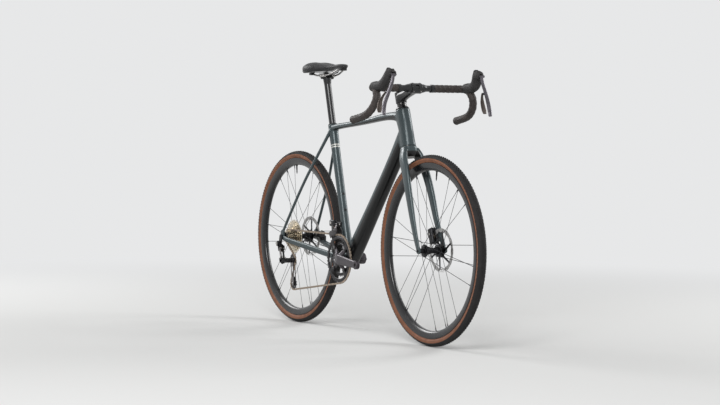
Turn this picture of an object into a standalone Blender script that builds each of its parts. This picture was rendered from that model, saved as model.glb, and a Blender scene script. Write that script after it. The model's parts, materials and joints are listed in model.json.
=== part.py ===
"""Cyclocross bike with drop bars, disc brakes, two chainrings and a twelve-speed cassette.

Lengths are in metres and angles in degrees. +X points forward, +Y to the rider's left and +Z up.
The origin lies on the ground, midway between the wheels, in the bike's middle plane.
Each piece is modelled where it stands, then hung on the empty that marks its joint's axis.
"""

import math

import bmesh
import bpy
from mathutils import Matrix, Vector

# Fits
GAP = 0.0003            # between pieces that seat on each other
WELD = 0.00001          # points nearer than this are one point

# Wheels and their places
WHEELBASE = 1.021
RIM_SEAT_RADIUS = 0.3108
WHEEL_RADIUS = RIM_SEAT_RADIUS + 0.0342
TYRE_WIDTH = 0.034
TYRE_WALL = 0.0028
TYRE_CROWN = 0.011      # width of the flat that meets the ground
RIM_WALL_HEIGHT = 0.0057
RIM_WIDTH = 0.027
RIM_WALL = 0.0027
RIM_DEPTH = 0.0285
SPOKE_COUNT = 24
SPOKE_CROSSINGS = 2
SPOKE_RADIUS = 0.0011
WHEEL_STEPS = 36        # flats round a tyre or rim; a tyre stands on one of them
FLANGE_RADIUS = 0.0235
FLANGE_THICKNESS = 0.004
HUB_BARREL_RADIUS = 0.0150
FRONT_HUB_WIDTH = 0.100
REAR_HUB_WIDTH = 0.142
FRONT_FLANGES = (-0.030, 0.026)
REAR_FLANGES = (-0.0165, 0.035)
AXLE_HEAD = 0.0030      # height of a thru axle's head
AXLE_RADIUS = 0.0060
CAP_RADIUS = AXLE_RADIUS + 0.0030   # of the hubs' end caps
ROTOR_RADIUS = 0.080
ROTOR_BAND = 0.0135
ROTOR_THICKNESS = 0.0018
FRONT_ROTOR_Y = 0.0405
REAR_ROTOR_Y = 0.0520

# Frame
BB_RUN = WHEEL_RADIUS + 0.074     # rear axle to bottom bracket, along X
BB_HEIGHT = 0.280
DRAWN_RADIUS = 0.345    # heights above the ground are drawn for this wheel radius
SHELL_WIDTH = 0.068
SHELL_RADIUS = 0.0235
SHELL_BORE = 0.0175
SEAT_ANGLE = 74.3
SEAT_TUBE_LENGTH = 0.536
HEAD_ANGLE = 72.0
FORK_OFFSET = 0.047
HEAD_TUBE_BOTTOM = WHEEL_RADIUS + 0.058   # along the steering axis, above its foot by the front axle
HEAD_TUBE_TOP = HEAD_TUBE_BOTTOM + 0.153
DROPOUT_THICKNESS = 0.008
HEAD_TUBE_BORE = 0.0200
BEARING_HEIGHT = 0.007
LOWER_BEARING_RADIUS = 0.0258
UPPER_BEARING_RADIUS = 0.0208
STAY_TOP = (-0.0199, 0.0080, 0.0115)  # a seatstay's head from the seat tube's top: up, forward, side
STAY_FOOT = (0.0030, 0.3640)          # and above the rear axle: run and height
STAY_SPLIT = 0.965      # where the seatstay ends and the dropout's stub begins, along the stay
BOSS_RADIUS = 0.0052
BOSS_HEIGHT = 0.0015
SEAT_BOSSES = (0.190, 0.254)   # the bottle bosses' places along the seat tube
BOSS_SPACING = 0.064

# The down tube's and top tube's stations: share of the way forward, rise above the straight line,
# half width and half depth
DOWN_TUBE = ((0, 0, 0.0270, 0.0300), (0.1721, -0.0023, 0.0262, 0.0295),
             (0.41272, -0.00464, 0.0245, 0.0270), (0.64798, -0.00594, 0.0235, 0.0255),
             (0.83604, -0.00498, 0.0235, 0.0245), (1, 0, 0.0225, 0.0280))
TOP_TUBE = ((0, 0, 0.0150, 0.0115), (0.098, 0.00408, 0.0165, 0.0112),
            (0.46139, 0.00564, 0.0175, 0.0105), (0.74847, 0.012, 0.0190, 0.0132),
            (0.89857, 0.00958, 0.0205, 0.0165), (1, 0, 0.0215, 0.0225))

# The fork blades' stations, in the steering axis's own frame: forward, out, share of the height of
# the head tube's bottom, half width and half depth
FORK_STATIONS = ((0.0020, 0.0235, 0.9628, 0.0105, 0.0235), (0.0085, 0.0340, 0.8834, 0.0098, 0.0225),
                 (0.0190, 0.0400, 0.7444, 0.0092, 0.0200), (0.0260, 0.0450, 0.5459, 0.0086, 0.0172),
                 (0.0330, 0.0503, 0.2730, 0.0070, 0.0145), (0.0430, 0.0543, 0.0744, 0.0050, 0.0122),
                 (0.0475, 0.0543, -0.0223, 0.0038, 0.0085))
FORK_TIP = 0.0080       # thickness of a fork dropout
FORK_INSIDE = FRONT_HUB_WIDTH / 2 + GAP
FORK_OUTSIDE = FORK_INSIDE + FORK_TIP

# Seat
SEATPOST_RADIUS = 0.0136
SEATPOST_BOTTOM = SEAT_TUBE_LENGTH - 0.176
SEATPOST_DROP = 0.050   # how far the post can go down from here
SADDLE_LENGTH = 0.247
SADDLE_BACK = 0.0973    # the saddle's back edge behind the seatpost's top
SADDLE_HEIGHT = 1.030
RAIL_RADIUS = 0.0035
RAIL_SPACING = 0.044
RAIL_HEIGHT = SADDLE_HEIGHT - 0.0415
CUSHION_BASE = 0.0100   # the cushion's underside above the shell's own

# Each station: share of the length from the back, half width, top above the nose, underside
SADDLE_STATIONS = ((0.00, 0.0500, 0.0020, -0.0270), (0.05, 0.0660, 0.0085, -0.0340),
                   (0.16, 0.0725, 0.0110, -0.0350), (0.30, 0.0660, 0.0070, -0.0320),
                   (0.45, 0.0470, 0.0010, -0.0300), (0.58, 0.0315, -0.0020, -0.0275),
                   (0.74, 0.0225, -0.0010, -0.0235), (0.90, 0.0190, 0.0005, -0.0190),
                   (0.975, 0.0135, -0.0025, -0.0180), (1.00, 0.0070, -0.0060, -0.0185))

# Steering stack and bar
STEERER_RADIUS = 0.0143
STEERER_BASE_RADIUS = 0.0195
CAP_HEIGHT = 0.006
SPACER_HEIGHT = 0.0113
SPACER_RADIUS = 0.0172
STEM_HEIGHT = 0.040
STEM_LENGTH = 0.1086
STEM_WALL = 0.0042
BAR_CLAMP_RADIUS = 0.0159
BAR_CLAMP_WIDTH = 0.044
BAR_RADIUS = 0.0117
TAPE_THICKNESS = 0.0024
TAPE_START = 0.064      # from the middle of the bar
HOOK_WIDTH = 0.1945     # middle plane to the hook, level with the bar's tops
HOOK_FLARE = 0.22       # how far the hooks spread for each unit that they drop
LEVER_BOSS_RADIUS = 0.0055
LEVER_BOSS_WIDTH = 0.0180

# Each point: forward, side (or None for the hook's own plane) and up, from the bar's middle
HOOK_POINTS = ((0.000, 0.1500, 0.000), (0.012, 0.1840, 0.000), (0.045, None, -0.003),
               (0.0685, None, -0.029), (0.0660, None, -0.058), (0.0450, None, -0.084),
               (0.0080, None, -0.1025), (-0.067, None, -0.1165))

# Each hood station: forward, up, half width and half depth, in the hook's own plane
HOOD_STATIONS = ((0.036, 0.001, 0.0182, 0.0182), (0.056, 0.002, 0.0182, 0.0195),
                 (0.080, 0.004, 0.0168, 0.0185), (0.103, 0.013, 0.0170, 0.0190),
                 (0.118, 0.028, 0.0175, 0.0190), (0.1275, 0.0450, 0.0178, 0.0165),
                 (0.1370, 0.053, 0.0160, 0.0245), (0.1395, 0.061, 0.0110, 0.0175))
LEVER_PIVOT = (0.1535, 0.0440)
LEVER_BLADE = ((*LEVER_PIVOT, 0.0068, 0.0050), (0.1565, 0.0200, 0.0066, 0.0040),
               (0.1570, -0.0200, 0.0070, 0.0036), (0.1540, -0.0550, 0.0078, 0.0036),
               (0.1550, -0.0800, 0.0080, 0.0036), (0.1590, -0.0985, 0.0072, 0.0034))
LEVER_BOW = (0, -0.0010, 0.0050, 0.0100, 0.0095, 0.0065)   # each station's place outside the hook's plane
PADDLE_PIVOT = (0.1340, -0.0185)
PADDLE_BOSS_RADIUS = 0.0035
PADDLE_BOSS_FRONT = 0.0027   # ahead of the paddle's pivot
PADDLE_BLADE = ((*PADDLE_PIVOT, 0.0040, 0.0030), (0.1240, -0.0340, 0.0056, 0.0022),
                (0.1180, -0.0520, 0.0085, 0.0020), (0.1205, -0.0780, 0.0100, 0.0020),
                (0.1245, -0.0900, 0.0075, 0.0018))
PADDLE_BOW = (0.0045, 0.0065, 0.0085, 0.0085, 0.0070)

# Drivetrain
CHAIN_PITCH = 0.0127
CHAIN_WIDTH = 0.0050
CHAIN_HEIGHT = 0.0040
OUTER_RING_TEETH = 46
INNER_RING_TEETH = 33
COG_TEETH = (10, 11, 12, 13, 14, 15, 17, 19, 21, 24, 28, 33)
CHAIN_COG = 4
COG_PITCH = 0.00365
SMALL_COG_Y = -0.0630
COG_THICKNESS = 0.0014
PULLEY_TEETH = 12
OUTER_RING_Y = -0.0470
INNER_RING_Y = -0.0395
RING_THICKNESS = 0.0020
CRANK_LENGTH = 0.1725
CRANK_DROP = 4.0        # how far the right arm points below level
SPINDLE_RADIUS = 0.0145
SPINDLE_LENGTH = 0.126
CRANK_TREAD = 0.149     # over the arms' outer faces
PEDAL_HOLE_RADIUS = 0.0071
CUP_RADIUS = 0.0215
CUP_WIDTH = 0.0100
TAB_RADIUS = 0.0490     # how far in a chainring's tabs reach
SPIDER_RADIUS = 0.0590
SPIDER_TURN = 45.0 - CRANK_DROP   # the four spider arms stand halfway between the crank arms

# Derailleurs; each pulley's run and height
GUIDE_PULLEY = (0.0400, 0.2520)
TENSION_PULLEY = (0.0500, 0.1600)
LINK_SLANT = 15.0
LINK_LENGTH = 0.045
LINK_SPACING = 0.0135
LINK_EYE_RADIUS = 0.0050
LINK_EYE_LENGTH = 0.0120
HANGER_THICKNESS = 0.0050
HANGER_HOLE = (-0.0060, -0.0270)
PULLEY_WIDTH = 0.0046
CAGE_GAP = 0.0076       # between the cage's two plates
CAGE_PLATE = 0.0014
CAGE_PIN = 0.0030
KNUCKLE_RADIUS = 0.0105
CAGE_RADIUS = 0.0105    # round the ends of the cage's plates
STUB_RADIUS = 0.0050    # of the cage's pivot in the lower knuckle
FD_LINK_WIDTH = 0.0160
FD_PLATE = 0.0012
FD_CAGE_GAP = 0.0090    # between the cage's two plates
FD_EYE_RADIUS = 0.0034

# Brakes
CALIPER_WIDTH = 0.0270
PAD_THICKNESS = 0.0032
PAD_CLEARANCE = 0.0005  # from each pad to its rotor
PAD_SIZE = (0.0125, 0.0200)

# Finishes: colour, roughness, metallic
FINISHES = {
    "frame_paint": ((0.135, 0.160, 0.165), 0.38, 0.30),
    "black_carbon": ((0.022, 0.022, 0.024), 0.28, 0.10),
    "black_alloy": ((0.030, 0.030, 0.033), 0.35, 0.80),
    "grey_alloy": ((0.115, 0.108, 0.112), 0.42, 0.70),
    "steel": ((0.520, 0.510, 0.500), 0.30, 1.00),
    "gold_steel": ((0.560, 0.500, 0.420), 0.32, 1.00),
    "chain_steel": ((0.400, 0.345, 0.300), 0.35, 1.00),
    "tyre_rubber": ((0.030, 0.029, 0.028), 0.85, 0.00),
    "hood_rubber": ((0.036, 0.034, 0.034), 0.70, 0.00),
    "bar_tape": ((0.045, 0.037, 0.034), 0.62, 0.00),
    "saddle_cover": ((0.028, 0.028, 0.029), 0.60, 0.00),
    "lever_alloy": ((0.200, 0.190, 0.205), 0.30, 0.90),
    "pad_lining": ((0.160, 0.130, 0.105), 0.80, 0.00),
}

# Reference points and directions
REAR_AXLE = Vector((-WHEELBASE / 2, 0, WHEEL_RADIUS))
FRONT_AXLE = Vector((WHEELBASE / 2, 0, WHEEL_RADIUS))
CRANK_AXIS = REAR_AXLE + Vector((BB_RUN, 0, BB_HEIGHT - DRAWN_RADIUS))
LEFT = Vector((0, 1, 0))
UP = Vector((0, 0, 1))
FORWARD = Vector((1, 0, 0))
HEAD_UP = Vector((-math.cos(math.radians(HEAD_ANGLE)), 0, math.sin(math.radians(HEAD_ANGLE))))
HEAD_FORWARD = Vector((HEAD_UP.z, 0, -HEAD_UP.x))
STEER_FOOT = FRONT_AXLE - HEAD_FORWARD * FORK_OFFSET
SEAT_UP = Vector((-math.cos(math.radians(SEAT_ANGLE)), 0, math.sin(math.radians(SEAT_ANGLE))))
SEAT_FORWARD = Vector((SEAT_UP.z, 0, -SEAT_UP.x))
SEATPOST_TOP = (RAIL_HEIGHT - BB_HEIGHT - 0.0192) / SEAT_UP.z   # along the seat tube's axis
SADDLE_REAR_RUN = BB_RUN + SEATPOST_TOP * SEAT_UP.x - SADDLE_BACK
CHAIN_COG_Y = SMALL_COG_Y + COG_PITCH * CHAIN_COG
STEM_BOTTOM = HEAD_TUBE_TOP + GAP + CAP_HEIGHT + SPACER_HEIGHT + GAP
BAR_UP = STEM_BOTTOM + STEM_HEIGHT / 2
BAR_CENTRE = STEER_FOOT + HEAD_FORWARD * STEM_LENGTH + HEAD_UP * BAR_UP

parts = None            # the collection that holds the bike


# Scene and pieces

def clear_scene():
    """Start from an empty scene with one collection for the bike."""
    global parts
    for item in list(bpy.data.objects):
        bpy.data.objects.remove(item)
    parts = bpy.data.collections.new("cyclocross_bike")
    bpy.context.scene.collection.children.link(parts)


def joint_empty(name, place, parent=None):
    """An empty on a joint's axis, for the pieces that turn or slide there."""
    empty = bpy.data.objects.new(name, None)
    empty.empty_display_size = 0.04
    empty["place"] = place
    empty.location = place
    if parent is not None:
        empty.parent = parent
        empty.location = place - Vector(parent["place"])
    parts.objects.link(empty)
    return empty


def material(name, finish):
    """A plain shader with the colour, roughness and metallic value of one finish."""
    colour, roughness, metallic = FINISHES[finish]
    made = bpy.data.materials.new(name)
    made.use_nodes = True
    shader = made.node_tree.nodes["Principled BSDF"]
    shader.inputs["Base Color"].default_value = (*colour, 1.0)
    shader.inputs["Roughness"].default_value = roughness
    shader.inputs["Metallic"].default_value = metallic
    made.diffuse_color = (*colour, 1.0)
    return made


def piece(name, shape, finish, empty=None):
    """Name a finished shape, give it its own material and hang it on its joint's empty."""
    shape.name = name
    shape.data.name = name
    shape.data.materials.clear()
    shape.data.materials.append(material(name, finish))
    shape.data.shade_smooth()
    shape.data.set_sharp_from_angle(angle=math.radians(35))
    if empty is not None:
        shape.data.transform(Matrix.Translation(-Vector(empty["place"])))
        shape.parent = empty
    return shape


def shape_from(bm):
    """An object from a bmesh, with its points merged and its faces turned outwards."""
    bmesh.ops.remove_doubles(bm, verts=bm.verts, dist=WELD)
    bmesh.ops.recalc_face_normals(bm, faces=bm.faces)
    mesh = bpy.data.meshes.new("shape")
    bm.to_mesh(mesh)
    bm.free()
    made = bpy.data.objects.new("shape", mesh)
    parts.objects.link(made)
    return made


def apply_modifiers(shape):
    """Replace a shape's mesh, or its curve, by what its modifiers make, in world places."""
    graph = bpy.context.evaluated_depsgraph_get()
    graph.update()
    evaluated = shape.evaluated_get(graph)
    mesh = bpy.data.meshes.new_from_object(evaluated)
    mesh.transform(evaluated.matrix_world)
    bm = bmesh.new()
    bm.from_mesh(mesh)
    bpy.data.meshes.remove(mesh)
    bpy.data.objects.remove(shape)
    return shape_from(bm)


def joined(target, *others, operation="UNION"):
    """Join shapes to a first one, or cut them from it."""
    for other in others:
        modifier = target.modifiers.new("join", "BOOLEAN")
        modifier.operation = operation
        modifier.solver = "EXACT"
        modifier.object = other
        target = apply_modifiers(target)
        bpy.data.objects.remove(other)
    return target


def cut(target, *others):
    """Cut shapes out of a first one."""
    return joined(target, *others, operation="DIFFERENCE")


# Basic shapes

def turn_to(direction):
    """The rotation that takes +Z to a direction."""
    return direction.to_track_quat("Z", "Y").to_matrix().to_4x4()


def rod(start, end, radius, sides=20, end_radius=None):
    """A cylinder, or a cone, between two points."""
    bm = bmesh.new()
    last = radius if end_radius is None else end_radius
    along = end - start
    where = Matrix.Translation((start + end) / 2) @ turn_to(along)
    bmesh.ops.create_cone(bm, cap_ends=True, segments=sides, radius1=radius, radius2=last,
                          depth=along.length, matrix=where)
    return shape_from(bm)


def block(centre, size, turn=None):
    """A box about its centre, turned by a rotation matrix where one is given."""
    bm = bmesh.new()
    where = Matrix.Translation(centre)
    if turn is not None:
        where = where @ turn
    bmesh.ops.create_cube(bm, size=1.0, matrix=where @ Matrix.Diagonal((*size, 1.0)))
    return shape_from(bm)


def turned(profile, start, direction, steps, closed=True, turn=0.0):
    """A profile of (radius, distance) points turned about a line; a solid bar's profile is open."""
    mesh = bpy.data.meshes.new("profile")
    count = len(profile)
    edges = [(i, (i + 1) % count) for i in range(count if closed else count - 1)]
    mesh.from_pydata([(radius, 0, distance) for radius, distance in profile], edges, [])
    shape = bpy.data.objects.new("profile", mesh)
    parts.objects.link(shape)
    shape.matrix_world = Matrix.Translation(start) @ turn_to(direction) @ Matrix.Rotation(turn, 4, "Z")
    screw = shape.modifiers.new("turn", "SCREW")
    screw.steps = steps
    screw.render_steps = steps
    screw.use_merge_vertices = True
    screw.merge_threshold = WELD
    return apply_modifiers(shape)


def ring_solid(inner, outer, low, high, start, direction, steps):
    """A plain ring between two radii and two distances along its axis."""
    return turned([(outer, high), (outer, low), (inner, low), (inner, high)], start, direction, steps)


def oval(centre, side, up, half_side, half_up, count, squareness=2.0):
    """Points round an oval; a squareness above 2 flattens its sides."""
    points = []
    for i in range(count):
        angle = 2 * math.pi * i / count
        across = math.copysign(abs(math.cos(angle)) ** (2 / squareness), math.cos(angle))
        along = math.copysign(abs(math.sin(angle)) ** (2 / squareness), math.sin(angle))
        points.append(centre + side * (half_side * across) + up * (half_up * along))
    return points


def loft(rings):
    """A closed skin over rings of points, with a flat cap at each end."""
    bm = bmesh.new()
    rows = [[bm.verts.new(point) for point in ring] for ring in rings]
    count = len(rows[0])
    for low, high in zip(rows, rows[1:]):
        for i in range(count):
            bm.faces.new((low[i], low[(i + 1) % count], high[(i + 1) % count], high[i]))
    bm.faces.new(rows[0])
    bm.faces.new(rows[-1])
    return shape_from(bm)


def tube(stations, count=12, squareness=2.3, side=LEFT, grow=0.0):
    """A tapering tube through stations of (centre, half width, half depth), square to its run."""
    centres = [station[0] for station in stations]
    rings = []
    for i, (centre, half_side, half_up) in enumerate(stations):
        run = (centres[min(i + 1, len(centres) - 1)] - centres[max(i - 1, 0)]).normalized()
        across = (side - run * side.dot(run)).normalized()
        rings.append(oval(centre, across, run.cross(across), half_side + grow, half_up + grow,
                          count, squareness))
    return loft(rings)


def smooth_route(points, per_span):
    """Points on a smooth curve through a few given ones."""
    route = []
    padded = [points[0] * 2 - points[1], *points, points[-1] * 2 - points[-2]]
    for a, b, c, d in zip(padded, padded[1:], padded[2:], padded[3:]):
        for i in range(per_span):
            t = i / per_span
            route.append(0.5 * (b * 2 + (c - a) * t + (a * 2 - b * 5 + c * 4 - d) * t ** 2
                                + (b * 3 - a - c * 3 + d) * t ** 3))
    route.append(points[-1])
    return route


def flatness(resolution):
    """The radius inside a wire's flats, as a share of the radius at its corners."""
    return math.cos(math.pi / (4 + 2 * resolution))


def wire(route, radius, resolution=2, radii=None, clear=None):
    """A round bar along a route, or a sleeve that leaves a clear radius inside its flats."""
    curve = bpy.data.curves.new("wire", "CURVE")
    curve.dimensions = "3D"
    curve.bevel_depth = radius
    curve.bevel_resolution = resolution
    curve.use_fill_caps = clear is None
    spline = curve.splines.new("POLY")
    spline.points.add(len(route) - 1)
    for i, (point, place) in enumerate(zip(spline.points, route)):
        point.co = (*place, 1.0)
        point.radius = radii[i] if radii else 1.0
    shape = bpy.data.objects.new("wire", curve)
    parts.objects.link(shape)
    shape = apply_modifiers(shape)
    if clear is not None:
        shell = shape.modifiers.new("wall", "SOLIDIFY")
        shell.thickness = radius * flatness(resolution) - clear
        shell.offset = -1.0
        shell.use_even_offset = True
        shape = apply_modifiers(shape)
    return shape


def plate(outlines, thickness, centre, across=FORWARD, up=UP):
    """A flat plate from outlines of (across, up) points; outlines after the first are holes."""
    curve = bpy.data.curves.new("plate", "CURVE")
    curve.dimensions = "2D"
    curve.fill_mode = "BOTH"
    curve.extrude = thickness / 2
    for outline in outlines:
        spline = curve.splines.new("POLY")
        spline.points.add(len(outline) - 1)
        spline.use_cyclic_u = True
        for point, (u, v) in zip(spline.points, outline):
            point.co = (u, v, 0, 1)
    shape = bpy.data.objects.new("plate", curve)
    parts.objects.link(shape)
    normal = across.cross(up)
    turn = Matrix((across, up, normal)).transposed().to_4x4()
    shape.matrix_world = Matrix.Translation(centre) @ turn
    return apply_modifiers(shape)


def polar_outline(count, radius_at):
    """An outline whose radius follows a function of the angle in degrees."""
    angles = [360 * i / count for i in range(count)]
    return [(radius_at(a) * math.cos(math.radians(a)), radius_at(a) * math.sin(math.radians(a)))
            for a in angles]


def capsule(first, second, radius, count=12):
    """The outline round two equal circles in a plate's own (across, up) plane."""
    a, b = Vector(first), Vector(second)
    heading = math.atan2(b.y - a.y, b.x - a.x)
    half = count // 2
    outline = []
    for centre, offset in ((b, -math.pi / 2), (a, math.pi / 2)):
        for i in range(half + 1):
            angle = heading + offset + math.pi * i / half
            outline.append((centre.x + radius * math.cos(angle), centre.y + radius * math.sin(angle)))
    return outline


# Places on the bike

def on_head(forward, side, up):
    """A point in the steering axis's own frame."""
    return STEER_FOOT + HEAD_FORWARD * forward + LEFT * side + HEAD_UP * up


def on_seat(up, forward=0.0, side=0.0):
    """A point beside the seat tube's axis."""
    return CRANK_AXIS + SEAT_UP * up + SEAT_FORWARD * forward + LEFT * side


def from_rear(run, side, height):
    """A point by its run ahead of the rear axle, its side and its height above the ground."""
    return REAR_AXLE + Vector((run, side, height - DRAWN_RADIUS))


def between(start, end, share, rise=0.0):
    """A point part of the way between two in the bike's plane, and off their line by a rise."""
    along = (end - start).normalized()
    return start.lerp(end, share) + Vector((-along.z, 0, along.x)) * rise


def on_saddle(along, side, up):
    """A point by its place ahead of the saddle's back edge, its side and its height over the saddle."""
    return from_rear(SADDLE_REAR_RUN + along, side, SADDLE_HEIGHT + up)


def on_bar(forward, side, up):
    """A point by its place from the middle of the handlebar."""
    return BAR_CENTRE + Vector((forward, side, up))


def hook_width(up):
    """How far the hook's own plane stands from the middle at a height from the bar's tops."""
    return HOOK_WIDTH - HOOK_FLARE * up


def pitch_radius(teeth):
    """The radius that a chain's pins follow on a sprocket."""
    return CHAIN_PITCH / 2 / math.sin(math.pi / teeth)


# The rear derailleur's parallelogram: its links run along LINK_RUN, and the cage swings along LINK_SWING
LINK_SWING = Vector((0, math.cos(math.radians(LINK_SLANT)), -math.sin(math.radians(LINK_SLANT))))
LINK_FALL = Vector((0.60, 0, -0.80))
LINK_RUN = (LINK_FALL - LINK_SWING * LINK_SWING.dot(LINK_FALL)).normalized()
LINK_AXIS = LINK_RUN.cross(LINK_SWING)
CAGE_PIVOT = from_rear(GUIDE_PULLEY[0], CHAIN_COG_Y, GUIDE_PULLEY[1])
TENSION_CENTRE = from_rear(TENSION_PULLEY[0], CHAIN_COG_Y, TENSION_PULLEY[1])
OUTER_LINK_HEAD = from_rear(0.0100, -0.0910, 0.2960)
INNER_LINK_HEAD = OUTER_LINK_HEAD + LINK_SWING * LINK_SPACING
OUTER_LINK_FOOT = OUTER_LINK_HEAD + LINK_RUN * LINK_LENGTH
INNER_LINK_FOOT = INNER_LINK_HEAD + LINK_RUN * LINK_LENGTH
FD_LINK_HEAD = from_rear(BB_RUN - 0.0540, -0.0282, 0.4110)
FD_LINK_FOOT = from_rear(BB_RUN - 0.0540, -0.0375, 0.3880)


# Wheels

def tyre_profile():
    """The casing's section, open at the rim: outside first, then inside, as (radius, side)."""
    crown = WHEEL_RADIUS / math.cos(math.pi / WHEEL_STEPS)
    half, flat = TYRE_WIDTH / 2, TYRE_CROWN / 2
    bead = RIM_WIDTH / 2 - RIM_WALL - GAP
    lip = RIM_SEAT_RADIUS + RIM_WALL_HEIGHT + GAP * 2
    foot = RIM_SEAT_RADIUS + GAP
    outside = [(foot, -bead), (lip, -bead), (crown - 0.0165, -half), (crown - 0.0050, -half * 0.74),
               (crown, -flat)]
    inside = [(foot, -bead + TYRE_WALL), (crown - 0.0165, -half + TYRE_WALL), (crown - TYRE_WALL, -flat)]
    return (outside + [(radius, -side) for radius, side in reversed(outside)]
            + [(radius, -side) for radius, side in inside] + list(reversed(inside)))


def rim_profile():
    """The rim's section: two side walls round the bead seat, and a spoke bed inside."""
    half = RIM_WIDTH / 2
    top = RIM_SEAT_RADIUS + RIM_WALL_HEIGHT
    bed = top - RIM_DEPTH
    right = [(top, half - RIM_WALL), (top, half), (bed, half * 0.36)]
    left = [(radius, -side) for radius, side in reversed(right)]
    return right + left + [(RIM_SEAT_RADIUS, -half + RIM_WALL), (RIM_SEAT_RADIUS, half - RIM_WALL)]


def spoke_set(centre, flange_y, turn):
    """One side's spokes laced to their hub flange, as one solid."""
    count = SPOKE_COUNT // 2
    reach = RIM_SEAT_RADIUS + RIM_WALL_HEIGHT - RIM_DEPTH - 0.0012
    hole = FLANGE_RADIUS - 0.0025
    flange = ring_solid(HUB_BARREL_RADIUS + GAP * 2, FLANGE_RADIUS, -FLANGE_THICKNESS / 2,
                        FLANGE_THICKNESS / 2, centre + LEFT * flange_y, LEFT, 14)
    lean = math.copysign(FLANGE_THICKNESS / 5, flange_y)
    for i in range(count):
        heading = 1 if i % 2 else -1
        at_hub = math.radians(turn + 360 * i / count)
        at_rim = at_hub + heading * math.radians(360 * SPOKE_CROSSINGS / count + 8)
        start = centre + Vector((hole * math.cos(at_hub), flange_y + lean * heading,
                                 hole * math.sin(at_hub)))
        end = centre + Vector((reach * math.cos(at_rim), math.copysign(0.002, flange_y),
                               reach * math.sin(at_rim)))
        flange = joined(flange, rod(start, end, SPOKE_RADIUS, sides=3))
    return flange


def brake_rotor(centre, rotor_y):
    """A disc rotor: brake track, six arms and the ring that locks on the hub."""
    place = centre + LEFT * rotor_y
    half = ROTOR_THICKNESS / 2
    arms = 6

    def star(angle):
        phase = (angle * arms / 360) % 1
        return ROTOR_RADIUS - ROTOR_BAND / 2 if phase < 0.26 else HUB_BARREL_RADIUS + 0.009

    hole = polar_outline(14, lambda a: HUB_BARREL_RADIUS + GAP * 2)
    carrier = plate([polar_outline(arms * 6, star), hole], ROTOR_THICKNESS * 0.98, place)
    track = ring_solid(ROTOR_RADIUS - ROTOR_BAND, ROTOR_RADIUS, -half, half, place, LEFT, 28)
    return joined(track, carrier)


def hub_shell(centre, cap_end, low_end, high_end, capped):
    """A hub barrel with its bore, its left end cap and, where it is capped, its right one."""
    bore = AXLE_RADIUS + GAP
    profile = [(CAP_RADIUS, cap_end), (CAP_RADIUS, high_end), (HUB_BARREL_RADIUS, high_end),
               (HUB_BARREL_RADIUS, low_end)]
    if capped:
        profile += [(CAP_RADIUS, low_end), (CAP_RADIUS, -cap_end), (bore, -cap_end)]
    else:
        profile.append((bore, low_end))
    return turned([*profile, (bore, cap_end)], centre, LEFT, 14)


def wheel(name, centre, empty, width, flanges, rotor_y, barrel_low, capped):
    """One wheel's own pieces; a cassette takes the place of the rear hub's right end cap."""
    lean = math.pi / WHEEL_STEPS
    tyre = turned(tyre_profile(), centre, LEFT, WHEEL_STEPS, turn=lean)
    piece(f"{name}_tyre", tyre, "tyre_rubber", empty)
    rim = turned(rim_profile(), centre, LEFT, WHEEL_STEPS, turn=lean)
    piece(f"{name}_rim", rim, "black_carbon", empty)
    barrel_high = rotor_y + ROTOR_THICKNESS / 2 + 0.0025
    hub = hub_shell(centre, width / 2 - GAP, barrel_low, barrel_high, capped)
    piece(f"{name}_hub", hub, "black_alloy", empty)
    piece(f"{name}_spokes_right", spoke_set(centre, flanges[0], 0), "black_alloy", empty)
    piece(f"{name}_spokes_left", spoke_set(centre, flanges[1], 15), "black_alloy", empty)
    piece(f"{name}_rotor", brake_rotor(centre, rotor_y), "steel", empty)


def thru_axle(name, centre, low, seat, empty=None):
    """A thru axle from its threaded end to the head that seats on the left dropout."""
    head = seat + GAP
    head_radius = AXLE_RADIUS + 0.0025
    profile = [(0, head + AXLE_HEAD), (head_radius, head + AXLE_HEAD), (head_radius, head),
               (AXLE_RADIUS, head), (AXLE_RADIUS, low), (0, low)]
    return piece(name, turned(profile, centre, LEFT, 14, closed=False), "black_alloy", empty)


# Frame

def seat_tube_shape(grow=0.0):
    """The seat tube, from the bottom bracket to the top of its collar."""
    return tube([(on_seat(0.000), 0.0215 + grow, 0.0215 + grow),
                 (on_seat(0.060), 0.0180 + grow, 0.0190 + grow),
                 (on_seat(0.140), 0.0162 + grow, 0.0165 + grow),
                 (on_seat(SEAT_TUBE_LENGTH - 0.136), 0.0162 + grow, 0.0165 + grow),
                 (on_seat(SEAT_TUBE_LENGTH - 0.066), 0.0172 + grow, 0.0185 + grow),
                 (on_seat(SEAT_TUBE_LENGTH), 0.0178 + grow, 0.0185 + grow)], count=14)


def shell_shape(grow=0.0):
    """The bottom bracket shell."""
    half = LEFT * (SHELL_WIDTH / 2 + grow)
    return rod(CRANK_AXIS - half, CRANK_AXIS + half, SHELL_RADIUS + grow, sides=20)


def head_tube_shape():
    """The head tube, waisted between its two bearings."""
    middle = (HEAD_TUBE_BOTTOM + HEAD_TUBE_TOP) / 2
    return tube([(on_head(0.000, 0, HEAD_TUBE_BOTTOM), 0.0282, 0.0295),
                 (on_head(0.000, 0, HEAD_TUBE_BOTTOM + 0.018), 0.0270, 0.0290),
                 (on_head(0.001, 0, middle), 0.0232, 0.0270),
                 (on_head(0.000, 0, HEAD_TUBE_TOP - 0.020), 0.0232, 0.0258),
                 (on_head(0.000, 0, HEAD_TUBE_TOP), 0.0236, 0.0250)], count=16, squareness=2.15)


def down_tube_point(station):
    """The centre of one of the down tube's stations, from the shell to the head tube."""
    share, rise = DOWN_TUBE[station][:2]
    return between(CRANK_AXIS + Vector((0.0090, 0, -0.0080)), on_head(0.002, 0, HEAD_TUBE_BOTTOM + 0.057),
                   share, rise)


def down_tube_shape():
    """The down tube, deepest at the bottom bracket."""
    stations = [(down_tube_point(i), half_side, half_up)
                for i, (_, _, half_side, half_up) in enumerate(DOWN_TUBE)]
    return tube(stations, count=14, squareness=2.6)


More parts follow.
